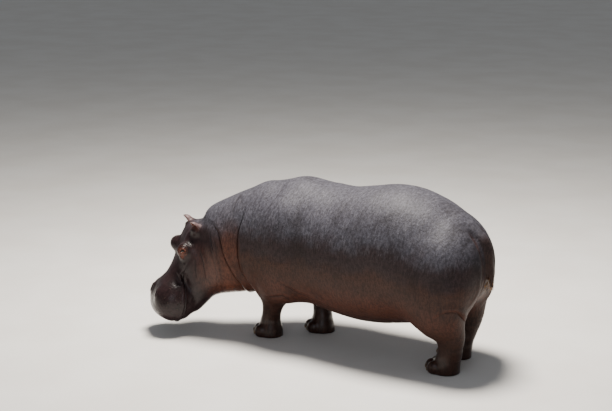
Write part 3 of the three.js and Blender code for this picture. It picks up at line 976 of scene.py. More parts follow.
# A crest runs from the eye's mound to the ear, with a hollow behind it.
crest = {
    "from": (-20, 96),
    "to": (-170, 84),
    "height": 9,
    "width": 26,
    "hollow": 11,
    "hollowAt": (-105, 158, -40),
    "hollowWidth": 52,
}
start, end = np.array(crest["from"], float), np.array(crest["to"], float)
share = np.clip((local[:, :2] - start) @ (end - start) / ((end - start) @ (end - start)), 0, 1)
away = np.linalg.norm(local[:, :2] - start - share[:, None] * (end - start), axis=1)
crestRise = crest["height"] * bell(away, crest["width"])
crestRise *= smoothStep(0.0, 0.3, share) * smoothStep(1.0, 0.7, share)
hollow = crest["hollow"] * bell(np.linalg.norm(local - crest["hollowAt"], axis=1), crest["hollowWidth"])
local += headNormals * (onHead * (crestRise * (headNormals[:, 2] > 0) - hollow))[:, None]

# The corner of the mouth: a curved crease that runs up to the cheek.
corner = {
    "line": [(86, 182, -62), (106, 172, -80), (154, 154, -92), (200, 137, -104), (240, 135, -122)],
    "depth": 7,
    "width": 6,
    "lip": 4,
    "lipAt": 20,
    "lipWidth": 13,
    "reach": 70,
}
cornerLine = densified(corner["line"], 6)
near, nearest = nearestOn(cornerLine, local, corner["reach"])
away = np.linalg.norm(local[near] - cornerLine[nearest], axis=1)
fade = smoothStep(0, 0.25, nearest / (len(cornerLine) - 1))
cornerShift = corner["lip"] * bell(away - corner["lipAt"], corner["lipWidth"])
cornerShift -= corner["depth"] * bell(away, corner["width"])
local[near] += headNormals[near] * (fade * cornerShift)[:, None]
# painted shade along the crease at the corner of the mouth
crease[near] = np.maximum(crease[near], fade * bell(away, 1.5 * corner["width"]))

# Lips: the upper one swells and hangs over the lower one along the mouth line.
lips = {
    "upper": 8,
    "upperAt": 17,
    "upperWidth": 17,
    "gap": 9,
    "gapWidth": 5.5,
    "lower": 6,
    "lowerAt": -22,
    "lowerWidth": 24,
}
gapAbove = (local[:, 2] - mouthLine(local[:, 0])) * 0.9  # measured across the sloping line
mouthPart = onHead * smoothStep(150, 215, local[:, 0]) * (local[:, 1] > 20)
mouthPart = np.maximum(mouthPart, onHead * (local[:, 0] > 500))
lipShift = lips["upper"] * bell(gapAbove - lips["upperAt"], lips["upperWidth"])
lipShift -= lips["gap"] * bell(gapAbove, lips["gapWidth"])
lipShift -= lips["lower"] * bell(gapAbove - lips["lowerAt"], lips["lowerWidth"])
local += headNormals * (mouthPart * lipShift)[:, None]
# painted shade in the gap between the lips
crease = np.maximum(crease, 0.75 * mouthPart * bell(gapAbove, 6))

# Nostrils: slits with a raised rim.
nostril = {
    "centre": (430, 106),
    "halfLength": 25,
    "halfWidth": 5.5,
    "turn": 24,
    "bend": 0.012,
    "depth": 15,
    "rim": 7,
    "rimAt": 7,
    "rimWidth": 11,
}
turn = math.radians(nostril["turn"])
forward, outward = local[:, 0] - nostril["centre"][0], local[:, 1] - nostril["centre"][1]
slitAlong = forward * math.cos(turn) + outward * math.sin(turn)
slitAcross = -forward * math.sin(turn) + outward * math.cos(turn) + nostril["bend"] * slitAlong**2 - 3
fromMiddle = np.hypot(slitAlong / nostril["halfLength"], slitAcross / nostril["halfWidth"])
pastEnd = np.maximum(np.abs(slitAlong) - nostril["halfLength"], 0)
pastSide = np.maximum(np.abs(slitAcross) - nostril["halfWidth"], 0)
nostrilRim = nostril["rim"] * bell(np.hypot(pastEnd, pastSide) - nostril["rimAt"], nostril["rimWidth"])
hole = nostril["depth"] * smoothStep(1.25, 0.35, fromMiddle)
nostrilPart = onHead * (local[:, 2] > -60) * (headNormals[:, 2] > 0.1)
local[:, 2] += nostrilPart * (nostrilRim * smoothStep(0.8, 1.3, fromMiddle) - hole)
# painted shade in the nostril slits
crease = np.maximum(crease, nostrilPart * smoothStep(1.3, 0.7, fromMiddle))

# Ears: the front half of the leaf is turned in, which leaves a cup with a rim.
earLocal = (local - earMiddle) @ earRows.T
at, leaf = denseStations(ear["leaf"])
forwardPart = earLocal[:, 1] - np.interp(earLocal[:, 0], at, leaf[:, 0])
onEar = onHead & (earLocal[:, 0] < 75) & (np.abs(forwardPart) < 40) & (np.abs(earLocal[:, 2]) < 48)
cup = onEar * smoothStep(-50, 0, earLocal[:, 0])
earInside = cup * smoothStep(ear["rim"] - 1, ear["rim"] + 5, forwardPart)
earRim = cup * bell(forwardPart - ear["rim"], 3.5)
turnedIn = (1 + ear["cup"]) * np.maximum(forwardPart - ear["rim"], 0)
local -= earRows[1] * (cup * turnedIn)[:, None]

# Eyes: the lids open in a slit over the eyeball, with folds in rings round them.
eyeLocal = (local - np.array(eye["centre"])) @ eyeRows.T
eyeAway = np.linalg.norm(eyeLocal, axis=1)
slitAngle = np.degrees(np.arctan2(eyeLocal[:, 1], eyeLocal[:, 0]))
lift = np.degrees(np.arctan2(eyeLocal[:, 2], np.hypot(eyeLocal[:, 0], eyeLocal[:, 1])))
arch = np.maximum(1 - (slitAngle / eye["halfWidth"]) ** 2, 0) ** 0.8
pastLid = np.where(lift > 0, lift - eye["upperLid"] * arch, -lift - eye["lowerLid"] * arch)
edge = pastLid * math.pi / 180 * eye["lidRadius"]  # millimetres past the edge of the lid
pastCorner = (np.abs(slitAngle) - eye["halfWidth"]) * 0.5
edge = np.where(pastCorner > 0, np.hypot(edge, pastCorner), edge)
eyePart = onHead * (eyeAway < 75) * (eyeLocal[:, 0] > 0)
opening = eyePart * (eyeAway < 45) * smoothStep(0.8, -1.6, edge)
lidShift = sum(rise * bell(edge - place, width) for rise, place, width in eye["lidFolds"])
lidShift *= smoothStep(-1, 1, edge)
ringAway = np.hypot(eyeLocal[:, 1], eyeLocal[:, 2])
wavy = ringAway + 5 * valueNoise(local, (34, 34, 34), 41)
strength = 0.25 + 0.75 * smoothStep(-25, 25, eyeLocal[:, 2] - 0.4 * eyeLocal[:, 1])  # strongest above the eye
# Painted shade in the ring grooves round the eye, strongest above it.
ringShade = np.zeros(len(points))
for place, depth, width in eye["rings"]:
    groove = bell(wavy - place, width)
    lidShift += strength * depth * (0.5 * bell(wavy - place + 1.8 * width, width) - groove)
    ringShade = np.maximum(ringShade, strength * groove)
sunk = np.minimum(eyeAway, eye["radius"] - 2.5) - eyeAway
outward = opening * sunk + (1 - opening) * eyePart * lidShift * smoothStep(75, 60, eyeAway)
local += (outward / np.maximum(eyeAway, 1))[:, None] * eyeLocal @ eyeRows
# Painted shade in the lid folds and the ring grooves.
lidAndRingShade = 0.7 * bell(edge - 6.5, 1.9) + 0.5 * bell(edge - 13, 2.2) + 0.8 * ringShade
crease = np.maximum(crease, eyePart * np.clip(lidAndRingShade, 0, 1))
eyeRing = eyePart * (0.35 * smoothStep(60, 40, ringAway) + 0.4 * smoothStep(14, 3, edge))
eyeRing *= (1 - opening) * (1 - 0.5 * smoothStep(10, 40, eyeLocal[:, 2]))
tearWedge = onHead * bell(eyeLocal[:, 1] - 2, 16) * (eyeAway < 110)
tearWedge *= smoothStep(0, -20, eyeLocal[:, 2]) * smoothStep(-82, -40, eyeLocal[:, 2])

# Whisker pits on the upper lip.
whiskers = {
    "count": 70,
    "depth": 1.9,
    "width": 5.5,
    "low": (300, 110, -200),
    "high": (560, 215, -40),
    "reach": 26,
    "spacing": 20,
}
chance = np.random.default_rng(11)
pitPlaces = chance.uniform(whiskers["low"], whiskers["high"], (whiskers["count"] * 8, 3))
lip = np.flatnonzero(onHead & (local[:, 0] > 290) & (gapAbove > 22) & (headNormals[:, 1] > 0.15))
whiskerRoots = []
for place in pitPlaces:
    away = np.linalg.norm(local[lip] - place, axis=1)
    closest = lip[np.argmin(away)]
    gaps = [np.linalg.norm(local[closest] - local[other]) for other in whiskerRoots]
    if away.min() < whiskers["reach"] and min(gaps, default=math.inf) > whiskers["spacing"]:
        whiskerRoots.append(closest)
    if len(whiskerRoots) == whiskers["count"]:
        break
pits = np.zeros(len(points))
for root in whiskerRoots:
    away = np.linalg.norm(local[lip] - local[root], axis=1)
    pits[lip] = np.maximum(pits[lip], bell(away, whiskers["width"]))
local -= headNormals * (whiskers["depth"] * pits)[:, None]
# painted shade in the whisker pits
crease = np.maximum(crease, 0.7 * pits)

local[:, 1] *= sign
points = np.where(onHead[:, None], fromHead(local), points)
points = smoothed(points, triangles, 5, 0.9 * np.clip(1.6 * earRim, 0, 1))  # rounds the ears' rims
report("features of the head made")

# The eyes' boxes tell how far the shape's own frame lies from the solids' frame.
eyeMiddles = [np.mean(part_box(name), axis=0) for name in ("eye_left", "eye_right")]
placed = [fromHead(np.array(eye["centre"]) * [1, side, 1]) / 1000 for side in (1, -1)]
shift = np.mean(np.array(eyeMiddles) - placed, axis=0)
shift[2] = 0
report(f"shift to the solids' frame: {shift}")


def meshObject(name, vertices, faces):
    mesh = bpy.data.meshes.new(name)
    faces = np.asarray(faces, np.int32)
    mesh.vertices.add(len(vertices))
    mesh.vertices.foreach_set("co", np.asarray(vertices, np.float32).ravel())
    mesh.loops.add(faces.size)
    mesh.loops.foreach_set("vertex_index", faces.ravel())
    mesh.polygons.add(len(faces))
    mesh.polygons.foreach_set("loop_start", np.arange(0, faces.size, faces.shape[1], dtype=np.int32))
    mesh.polygons.foreach_set("loop_total", np.full(len(faces), faces.shape[1], np.int32))
    mesh.update(calc_edges=True)
    mesh.shade_smooth()
    thing = bpy.data.objects.new(name, mesh)
    bpy.context.scene.collection.objects.link(thing)
    return thing


skin = meshObject("skin", points / 1000 + shift, triangles)
flesh = ["trunk", "neck", "head", "lower_jaw", "ear_left", "ear_right", "tail"]
for side in ("left", "right"):
    flesh += [f"{part}_{side}" for part in ("foreleg", "hindleg", "forefoot", "hindfoot")]
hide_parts(*flesh)
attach(skin, "root")
report("skin made")


# Where the skin is pink, warm, wet and so on, for its material, with painted shade in its creases and a
# painted highlight on the backs of the ears.
normals = normalsOf(points, triangles)
x, y, z = points.T
neckLocal, headLocal = toNeck(points), toHead(points)
alongNeck, aboveNeck = neckLocal[:, 0], neckLocal[:, 2]
alongHead, aboveHead = headLocal[:, 0], headLocal[:, 2]
headShare = smoothStep(-330, -120, alongHead) * smoothStep(560, 720, alongNeck)
under = 0.62 * smoothStep(1180, 330, z) + 0.38 * smoothStep(0.35, -0.7, normals[:, 2])
neckWarm = smoothStep(430, 480, alongNeck) * smoothStep(720, 560, alongNeck) * smoothStep(230, -40, aboveNeck)
cheekWarm = 0.6 * smoothStep(560, 640, alongNeck) * smoothStep(930, 760, alongNeck)
cheekWarm *= smoothStep(20, -160, aboveNeck) * smoothStep(300, 120, alongHead)
rumpWarm = 0.5 * rearPart * bell(np.abs(y) - 100, 22)
warm = np.maximum.reduce([neckWarm, cheekWarm, rumpWarm]) * (1 - tailPart)
wet = np.maximum.reduce([
    headShare * smoothStep(240, 380, alongHead),
    headShare * 0.8 * smoothStep(-330, -420, aboveHead),
    headShare * 0.7,
    smoothStep(250, 120, z),
    smoothStep(-330, -400, aboveNeck) * smoothStep(380, 440, alongNeck),
])
masks = {
    # painted shade in the creases, grooves, pits and lid folds
    "crease": crease,
    "pink": np.maximum.reduce([eyeRing, 0.8 * tearWedge, earInside]),
    # pale rims of the ears, and a painted highlight over the backs of the ears
    "rim": np.maximum(earRim, 0.3 * cup * (1 - earInside)),
    "under": under,
    "warm": warm,
    "headShare": headShare,
    "legShare": smoothStep(520, 240, z) * (x > -1050),
    "tailPart": 0.8 * tailPart,
    "wet": wet,
}
for name, values in masks.items():
    layer = skin.data.attributes.new(name, "FLOAT", "POINT")
    layer.data.foreach_set("value", np.ascontiguousarray(np.clip(values, 0, 1), np.float32))


def eyeball(name, sign):  # a ball with a bulging cornea, its first axis along the gaze
    rings, spokes = 40, 64
    angles = np.linspace(0, 2 * math.pi, spokes, endpoint=False)
    vertices = [(1, 0, 0)]
    for t in np.linspace(0.03, math.pi - 0.03, rings):
        vertices += [(math.cos(t), math.sin(t) * math.cos(p), math.sin(t) * math.sin(p)) for p in angles]
    vertices.append((-1, 0, 0))
    vertices = np.array(vertices)
    back, lastRing = len(vertices) - 1, 1 + (rings - 1) * spokes
    triangles = []
    for k in range(spokes):
        n = (k + 1) % spokes
        triangles += [(0, 1 + k, 1 + n), (lastRing + k, back, lastRing + n)]
        for r in range(rings - 1):
            a, b = 1 + r * spokes, 1 + (r + 1) * spokes
            triangles += [(a + k, b + k, b + n), (a + k, b + n, a + n)]
    triangles = np.array(triangles)
    if sign > 0:
        triangles = triangles[:, ::-1]
    fromGaze = np.degrees(np.arccos(np.clip(vertices[:, 0], -1, 1)))
    ball = vertices * (eye["radius"] + eye["cornea"] * bell(fromGaze, 16))[:, None]
    place = (ball @ eyeRows + np.array(eye["centre"])) * [1, sign, 1]
    thing = meshObject(name, fromHead(place) / 1000 + shift, triangles)
    layer = thing.data.attributes.new("fromPupil", "FLOAT", "POINT")
    layer.data.foreach_set("value", np.ascontiguousarray(fromGaze / 90, np.float32))
    return thing


def toLinear(hexColour):
    channels = [int(hexColour[i:i + 2], 16) / 255 for i in (1, 3, 5)]
    return tuple(c / 12.92 if c <= 0.04045 else ((c + 0.055) / 1.055) ** 2.4 for c in channels) + (1.0,)


def addNode(tree, kind, settings, inputs, output=0):  # an input is a value, or the socket that feeds it
    node = tree.nodes.new("ShaderNode" + kind)
    for name, value in settings.items():
        setattr(node, name, value)
    for name, value in inputs.items():
        if isinstance(value, bpy.types.NodeSocket):
            tree.links.new(value, node.inputs[name])
        else:
            node.inputs[name].default_value = value
    return node.outputs[output] if node.outputs else None


def newMaterial(name):  # with its tree, and the socket that gives the place on the object in metres
    material = bpy.data.materials.new(name)
    material.use_nodes = True
    tree = material.node_tree
    tree.nodes.clear()
    return material, tree, addNode(tree, "TexCoord", {}, {}, "Object")


smooth = {"interpolation_type": "SMOOTHSTEP"}
plus, times = ({"operation": name, "use_clamp": True} for name in ("ADD", "MULTIPLY"))


# Colours in layers: each covers those before it by its shares multiplied together. A share is a
# value, a socket, or a socket with the range it is read over and the shares at the range's ends.
def layered(tree, base, layers):
    colour = toLinear(base)
    for shade, *shares in layers:
        cover = None
        for share in shares:
            if isinstance(share, tuple):
                share = addNode(tree, "MapRange", smooth, dict(enumerate(share)))
            cover = share if cover is None else addNode(tree, "Math", times, {0: cover, 1: share})
        colour = addNode(tree, "Mix", {"data_type": "RGBA"}, {0: cover, 6: colour, 7: toLinear(shade)}, 2)
    return colour


# Hippo hide: bare skin some 35 mm thick, finely cracked and dull where dry, sleek and dark where wet.
hide = {
    "back": "#4b4a52",
    "flank": "#35292a",
    "lowFlank": "#3f2820",
    "belly": "#4c2b20",
    "warm": "#5e382a",
    "head": "#2b1e1f",
    "leg": "#38241d",
    # near-black: painted shade in creases, and the dark of streaks, cracks and mottle
    "crease": "#120b0a",
    "pink": "#7d4836",
    # pale rims of the ears, and a painted highlight on the backs of the ears
    "rim": "#ab8884",
    # paler grey streaks, strongest on the top of the back
    "bloom": "#6c6a70",
    "crackMm": 13,  # the real net is 6 to 9 mm wide, drawn coarser to show
    "streakMm": 13,
    "streakLengthMm": 55,
    "blotchMm": 190,
    "pebbleMm": 26,  # real pebbling is under 10 mm, drawn coarser to show
    "grainMm": 3,
    "mottleMm": 15,
    "reliefMm": 5,
    "grainReliefMm": 1.2,
    "dryRoughness": 0.56,
    "wetRoughness": 0.29,
}
hideMaterial, tree, place = newMaterial("hippoHide")
mask = {name: addNode(tree, "Attribute", {"attribute_name": name}, {}, "Fac") for name in masks}
perMetre = {name[:-2]: 1000 / size for name, size in hide.items() if name.endswith("Mm")}
blotch = addNode(tree, "TexNoise", {}, {
    "Vector": place, "Scale": perMetre["blotch"], "Detail": 4.0, "Roughness": 0.55})
alongStreak = addNode(tree, "Mapping", {}, {
    "Vector": place, "Scale": (perMetre["streak"], perMetre["streakLength"], perMetre["streakLength"])})
streak = addNode(tree, "TexNoise", {}, {"Vector": alongStreak, "Scale": 1.0, "Detail": 3.0, "Roughness": 0.6})
wander = addNode(tree, "TexNoise", {}, {"Vector": place, "Scale": 30.0, "Detail": 2.0}, "Color")
bent = addNode(tree, "Mix", {"data_type": "VECTOR"}, {0: 0.014, 4: place, 5: wander}, 1)
net = addNode(tree, "Mapping", {}, {"Vector": bent, "Scale": (1.25, 1.0, 0.8)})
crackAway = addNode(tree, "TexVoronoi", {"feature": "DISTANCE_TO_EDGE"}, {
    "Vector": net, "Scale": perMetre["crack"]}, "Distance")
pebble = addNode(tree, "TexVoronoi", {"feature": "SMOOTH_F1"}, {
    "Vector": bent, "Scale": perMetre["pebble"], "Smoothness": 0.6}, "Distance")
grain = addNode(tree, "TexNoise", {}, {"Vector": place, "Scale": perMetre["grain"], "Detail": 2.0})
upright = addNode(tree, "Mapping", {}, {
    "Vector": place, "Scale": (perMetre["mottle"], 0.7 * perMetre["mottle"], 0.45 * perMetre["mottle"])})
mottle = addNode(tree, "TexNoise", {}, {"Vector": upright, "Scale": 1.0, "Detail": 2.0, "Roughness": 0.7})

unevenness = addNode(tree, "MapRange", smooth, dict(enumerate((blotch, 0.3, 0.7, -0.06, 0.06))))
uneven = addNode(tree, "Math", plus, {0: mask["under"], 1: unevenness})
legOrTail = addNode(tree, "Math", {"operation": "MAXIMUM"}, {0: mask["legShare"], 1: mask["tailPart"]})
headOrTail = addNode(tree, "Math", plus, {0: mask["headShare"], 1: mask["tailPart"]})
colour = layered(tree, hide["back"], [
    (hide["flank"], (uneven, 0.03, 0.22)),
    (hide["lowFlank"], (uneven, 0.3, 0.52)),
    (hide["belly"], (uneven, 0.62, 0.95)),
    (hide["leg"], legOrTail),
    (hide["head"], mask["headShare"]),
    (hide["warm"], mask["warm"], (blotch, 0.25, 0.65, 0.5, 1.0)),
    # paler grey streaks on the top of the back, weak on the head and tail
    (hide["bloom"], (mask["under"], 0.3, 0.02), (streak, 0.48, 0.7), (headOrTail, 0.0, 0.6, 0.4, 0.05)),
    (hide["crease"], (streak, 0.5, 0.3, 0.0, 0.3)),
    (hide["pink"], mask["pink"], (blotch, 0.2, 0.6, 0.7, 1.0)),
    # pale ear rims, and a painted highlight on the backs of the ears
    (hide["rim"], mask["rim"]),
    (hide["crease"], (crackAway, 0.0, 0.1, 1.0, 0.0), (mask["headShare"], 0.0, 1.0, 0.34, 0.1)),
    (hide["crease"], (mottle, 0.42, 0.6, 0.0, 0.42)),
    # painted shade in the folds, grooves, mouth, nostrils, pits and lid rings
    (hide["crease"], mask["crease"], 0.7),
])
wetBlotch = addNode(tree, "MapRange", smooth, dict(enumerate((blotch, 0.35, 0.65, -0.15, 0.15))))
wetness = addNode(tree, "Math", plus, {0: mask["wet"], 1: wetBlotch})
roughness = addNode(tree, "MapRange", smooth, {
    "Value": wetness, "From Min": 0.1, "From Max": 0.9,
    "To Min": hide["dryRoughness"], "To Max": hide["wetRoughness"]})
height = 0.0
for source, strength in ((crackAway, 0.55), (pebble, 0.4), (mottle, 0.5)):
    raised = addNode(tree, "Math", times, {0: source, 1: strength})
    height = addNode(tree, "Math", plus, {0: height, 1: raised})
flattened = addNode(tree, "MapRange", smooth, dict(enumerate((mask["wet"], 0.0, 1.0, 1.0, 0.35))))
height = addNode(tree, "Math", times, {0: height, 1: flattened})
coarse = addNode(tree, "Bump", {}, {"Height": height, "Strength": 0.6, "Distance": hide["reliefMm"] / 1000})
fine = addNode(tree, "Bump", {}, {
    "Height": grain, "Strength": 0.3, "Distance": hide["grainReliefMm"] / 1000, "Normal": coarse})
film = addNode(tree, "Math", times, {0: mask["wet"], 1: 0.16})
surface = addNode(tree, "BsdfPrincipled", {}, {
    "Base Color": colour, "Roughness": roughness, "IOR": 1.4, "Specular IOR Level": 0.28, "Normal": fine,
    "Coat Weight": film, "Coat Roughness": 0.15, "Coat IOR": 1.33})
addNode(tree, "OutputMaterial", {}, {"Surface": surface})
skin.data.materials.append(hideMaterial)

# Eye: clear wet cornea over a brown iris, and dark flesh round it, so it glints.
eyeColours = {
    "pupil": "#040303",
    "iris": "#3b2413",
    "irisRim": "#170d08",
    "white": "#4d352b",
    "pupilMm": 6,
    "irisMm": 14,
}
eyeMaterial, tree, place = newMaterial("wetEyeball")
out = addNode(tree, "Attribute", {"attribute_name": "fromPupil"}, {}, "Fac")
fleck = addNode(tree, "TexNoise", {}, {"Vector": place, "Scale": 500.0, "Detail": 3.0})
pupilEdge, irisEdge = (math.degrees(eyeColours[name] / eye["radius"]) / 90 for name in ("pupilMm", "irisMm"))
colour = layered(tree, eyeColours["irisRim"], [
    (eyeColours["iris"], (fleck, 0.35, 0.65)),
    (eyeColours["pupil"], (out, pupilEdge * 0.9, pupilEdge * 1.1, 1.0, 0.0)),
    (eyeColours["irisRim"], (out, irisEdge * 0.8, irisEdge)),
    (eyeColours["white"], (out, irisEdge * 1.02, irisEdge * 1.2)),
])
surface = addNode(tree, "BsdfPrincipled", {}, {
    "Base Color": colour, "Roughness": 0.3, "IOR": 1.376,
    "Coat Weight": 1.0, "Coat Roughness": 0.03, "Coat IOR": 1.376})
addNode(tree, "OutputMaterial", {}, {"Surface": surface})

# Nail: worn horn with fine growth lines, brown and a little shiny.
nail = {"deep": "#4a3a2c", "pale": "#8a765a", "growthMm": 5, "fibreMm": 2.5, "reliefMm": 2}
nailMaterial, tree, place = newMaterial("hornNail")
perGrowth, perFibre = 1000 / nail["growthMm"], 1000 / nail["fibreMm"]
flat = addNode(tree, "Mapping", {}, {"Vector": place, "Scale": (40.0, 40.0, perGrowth)})
upright = addNode(tree, "Mapping", {}, {"Vector": place, "Scale": (perFibre, perFibre, 25.0)})
growth = addNode(tree, "TexNoise", {}, {"Vector": flat, "Scale": 1.0, "Detail": 2.0})
fibre = addNode(tree, "TexNoise", {}, {"Vector": upright, "Scale": 1.0, "Detail": 2.0})
colour = layered(tree, nail["deep"], [
    (nail["pale"], (growth, 0.35, 0.65)),
    (nail["deep"], (fibre, 0.55, 0.35, 0.0, 0.4)),
])
raisedGrowth = addNode(tree, "Math", times, {0: growth, 1: 0.6})
raisedFibre = addNode(tree, "Math", times, {0: fibre, 1: 0.3})
height = addNode(tree, "Math", plus, {0: raisedGrowth, 1: raisedFibre})
ridges = addNode(tree, "Bump", {}, {"Height": height, "Strength": 0.5, "Distance": nail["reliefMm"] / 1000})
surface = addNode(tree, "BsdfPrincipled", {}, {
    "Base Color": colour, "Roughness": 0.42, "IOR": 1.54, "Normal": ridges})
addNode(tree, "OutputMaterial", {}, {"Surface": surface})
for thing in bpy.data.objects:
    if thing.type == "MESH" and thing.name.startswith("toenail"):
        thing.data.materials.clear()
        thing.data.materials.append(nailMaterial)

# Bristle: coarse keratin hair, straw brown or dark, and a little shiny.
bristleColours = {
    "strawBristleKeratin": ("#5a4230", "#c29668"),
    "darkBristleKeratin": ("#2c2019", "#6a5240"),
}
bristleMaterials = {}
for name, (dark, pale) in bristleColours.items():
    bristleMaterials[name], tree, place = newMaterial(name)
    tint = addNode(tree, "TexNoise", {}, {"Vector": place, "Scale": 160.0, "Detail": 2.0})
    colour = layered(tree, dark, [(pale, (tint, 0.35, 0.65))])
    surface = addNode(tree, "BsdfPrincipled", {}, {"Base Color": colour, "Roughness": 0.45, "IOR": 1.55})
    addNode(tree, "OutputMaterial", {}, {"Surface": surface})

bristle = {
    "tail": {
        "count": 150,
        "low": 680,
        "high": 800,
        "halfWidth": 36,
        "length": (20, 52),
        "radius": 0.8,
        "spread": 0.12,
        "droop": 0.1,
    },
    "ear": {"count": 260, "length": (5, 11), "radius": 0.45, "spread": 0.2, "droop": 0.1},
    "lip": {"each": 3, "length": (8, 20), "radius": 0.6, "spread": 0.25, "droop": 0.25},
}
chance = np.random.default_rng(5)


def bristles(name, material, sizes, chosen, lie):  # one mesh of tapering, three-sided hairs
    rings, sides = 5, 3
    directions = lie + chance.normal(0, sizes["spread"], lie.shape)
    lengths = chance.uniform(*sizes["length"], len(chosen))
    roots = points[chosen]
    t = np.linspace(-0.1, 1, rings)[None, :, None]  # the root sits a little in the skin
    forward = directions / np.linalg.norm(directions, axis=1, keepdims=True)
    sag = np.array([0, 0, -sizes["droop"]]) * np.maximum(t, 0) ** 2
    spine = roots[:, None] + lengths[:, None, None] * (forward[:, None] * t + sag)
    across = np.cross(forward, [0.31, 0.52, 0.79])
    across /= np.linalg.norm(across, axis=1, keepdims=True)
    other = np.cross(forward, across)
    angle = np.arange(sides)[None, :, None] * 2 * math.pi / sides
    circle = across[:, None] * np.cos(angle) + other[:, None] * np.sin(angle)
    width = sizes["radius"] * (1 - 0.85 * np.clip(t, 0, 1))
    vertices = spine[:, :, None] + circle[:, None] * width[..., None]
    low, high = (np.array(boxCorner) * 1000 - shift * 1000 for boxCorner in cadBox)
    tips = vertices[:, -1, 0]
    kept = np.all((tips > low) & (tips < high), axis=1)  # none leaves the solids' box
    vertices, roots = vertices[kept], roots[kept]
    index = np.arange(len(roots) * rings * sides).reshape(-1, rings, sides)
    here, ahead = index[:, :-1], index[:, 1:]
    quads = np.stack([here, np.roll(here, -1, 2), np.roll(ahead, -1, 2), ahead], -1).reshape(-1, 4)
    triangles = np.concatenate([quads[:, [0, 1, 2]], quads[:, [0, 2, 3]], index[:, -1], index[:, 0, ::-1]])
    thing = meshObject(name, vertices.reshape(-1, 3) / 1000 + shift, triangles)
    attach(thing, "root")
    thing.data.materials.append(bristleMaterials[material])

    # The map unrolls the body along its length and round its middle, with a small patch for each hair.
    start, length, middle, patchSize = -1950, 3200, 700, 0.003
    aroundBody = np.arctan2(roots[:, 1], roots[:, 2] - middle) / (2 * math.pi) + 0.5
    unwrapped = np.stack([(roots[:, 0] - start) / length, aroundBody], 1)
    roundHair, alongHair = np.tile(np.arange(sides), rings) / sides, np.repeat(np.arange(rings), sides) / rings
    patch = np.stack([roundHair, alongHair], 1)
    spots = (unwrapped[:, None] + patchSize * patch).reshape(-1, 2)
    layer = thing.data.uv_layers.new(name="OFBake")
    layer.data.foreach_set("uv", spots[triangles.ravel()].astype(np.float32).ravel())


sizes = bristle["tail"]
tip = (z > sizes["low"]) & (z < sizes["high"]) & (np.abs(y) < sizes["halfWidth"]) & (x > 1020)
tip = np.flatnonzero(tip & (tailPart > 0))
crowding = smoothStep(sizes["high"], sizes["low"], z[tip]) ** 2 + 0.02  # more of them towards the tip
chosen = chance.choice(tip, sizes["count"], p=crowding / crowding.sum())
down = normals[chosen] * [0.15, 0.5, 0.2] + np.array([-0.12, 0, -1.0])
bristles("tailBristles", "strawBristleKeratin", sizes, chosen, down)

chosen = chance.choice(np.flatnonzero(earRim > 0.6), bristle["ear"]["count"])
outOfEar = np.repeat((earRows[0] * 0.8 + earRows[1] * 0.5)[None], len(chosen), 0)
outOfEar[:, 1] *= np.where(headLocal[chosen, 1] < 0, -1.0, 1.0)
outOfEar = outOfEar @ headRows + 0.4 * normals[chosen]
bristles("earFringe", "darkBristleKeratin", bristle["ear"], chosen, outOfEar)

chosen = np.repeat(whiskerRoots, bristle["lip"]["each"])
hanging = normals[chosen] + np.array([0, 0, -0.5])
bristles("lipBristles", "darkBristleKeratin", bristle["lip"], chosen, hanging)
report("bristles made")

for name, node, sign in (("eyeballLeft", "eye_left", 1), ("eyeballRight", "eye_right", -1)):
    ball = eyeball(name, sign)
    ball.data.materials.append(eyeMaterial)
    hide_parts(node)
    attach(ball, "root")
report("eyes made")

# Floor, lights and camera.
studio = {
    "floor": "#dfdcd6",
    "floorMottle": "#e5e3de",
    "floorHalf": 70,  # metres
    "sky": "#e8ecf2",
    "skyStrength": 0.25,
    "lights": {  # place, size in metres, watts, colour
        "keyLight": ((-0.6, 0.7, 7.0), 2.4, 1500, "#fff8f0"),
        "fillLight": ((3.0, -7.5, 3.5), 5.0, 110, "#eef3ff"),
    },
    "aim": (0, 0, 0.7),
}

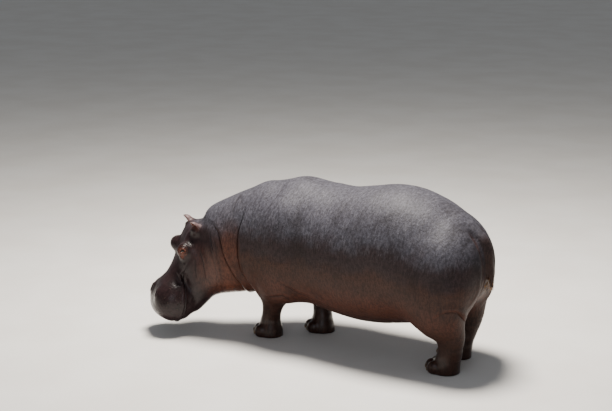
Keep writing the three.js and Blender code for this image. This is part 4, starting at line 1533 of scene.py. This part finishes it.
# Floor: a pale matt sheet with a faint mottle, so that it looks plain but not flat.
floorMaterial, tree, place = newMaterial("paleFloorSheet")
mottle = addNode(tree, "TexNoise", {}, {"Vector": place, "Scale": 1.2, "Detail": 4.0})
colour = layered(tree, studio["floor"], [(studio["floorMottle"], (mottle, 0.3, 0.7))])
surface = addNode(tree, "BsdfPrincipled", {}, {"Base Color": colour, "Roughness": 0.75, "IOR": 1.45})
addNode(tree, "OutputMaterial", {}, {"Surface": surface})
half = studio["floorHalf"]
floorCorners = [(-half, -half, 0), (half, -half, 0), (half, half, 0), (-half, half, 0)]
floorMesh = meshObject("floor", floorCorners, [(0, 1, 2, 3)])
floorMesh.data.materials.append(floorMaterial)

world = bpy.data.worlds.new("studio")
bpy.context.scene.world = world
world.use_nodes = True
backdrop = world.node_tree.nodes["Background"].inputs
backdrop["Color"].default_value = toLinear(studio["sky"])
backdrop["Strength"].default_value = studio["skyStrength"]


for name, (place, size, power, colour) in studio["lights"].items():
    data = bpy.data.lights.new(name, "AREA")
    data.shape, data.size, data.energy, data.color = "DISK", size, power, toLinear(colour)[:3]
    lamp = bpy.data.objects.new(name, data)
    bpy.context.scene.collection.objects.link(lamp)
    lamp.location = place
    lamp.rotation_euler = (Vector(studio["aim"]) - Vector(place)).to_track_quat("-Z", "Y").to_euler()

camera = {
    "right": 0.525,
    "back": 11.739,
    "height": 3.905,
    "azimuth": 34,
    "pitch": 13,
    "focalPixels": 1500,
    "widthPixels": 612,
    "sensorMm": 36,
}
phi, pitch = math.radians(camera["azimuth"]), math.radians(camera["pitch"])
right = Vector((math.cos(phi), math.sin(phi), 0))
ahead = Vector((-math.sin(phi), math.cos(phi), 0))
standing = Vector((shift[0], shift[1], camera["height"])) - right * camera["right"] - ahead * camera["back"]
sight = ahead * math.cos(pitch) - Vector((0, 0, math.sin(pitch)))
cameraData = bpy.data.cameras.new("camera")
cameraData.sensor_width = camera["sensorMm"]
cameraData.lens = camera["focalPixels"] / camera["widthPixels"] * camera["sensorMm"]
cameraObject = bpy.data.objects.new("camera", cameraData)
cameraObject.location = standing
cameraObject.rotation_euler = sight.to_track_quat("-Z", "Y").to_euler()
bpy.context.scene.collection.objects.link(cameraObject)
bpy.context.scene.camera = cameraObject

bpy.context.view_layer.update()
report("scene ready")
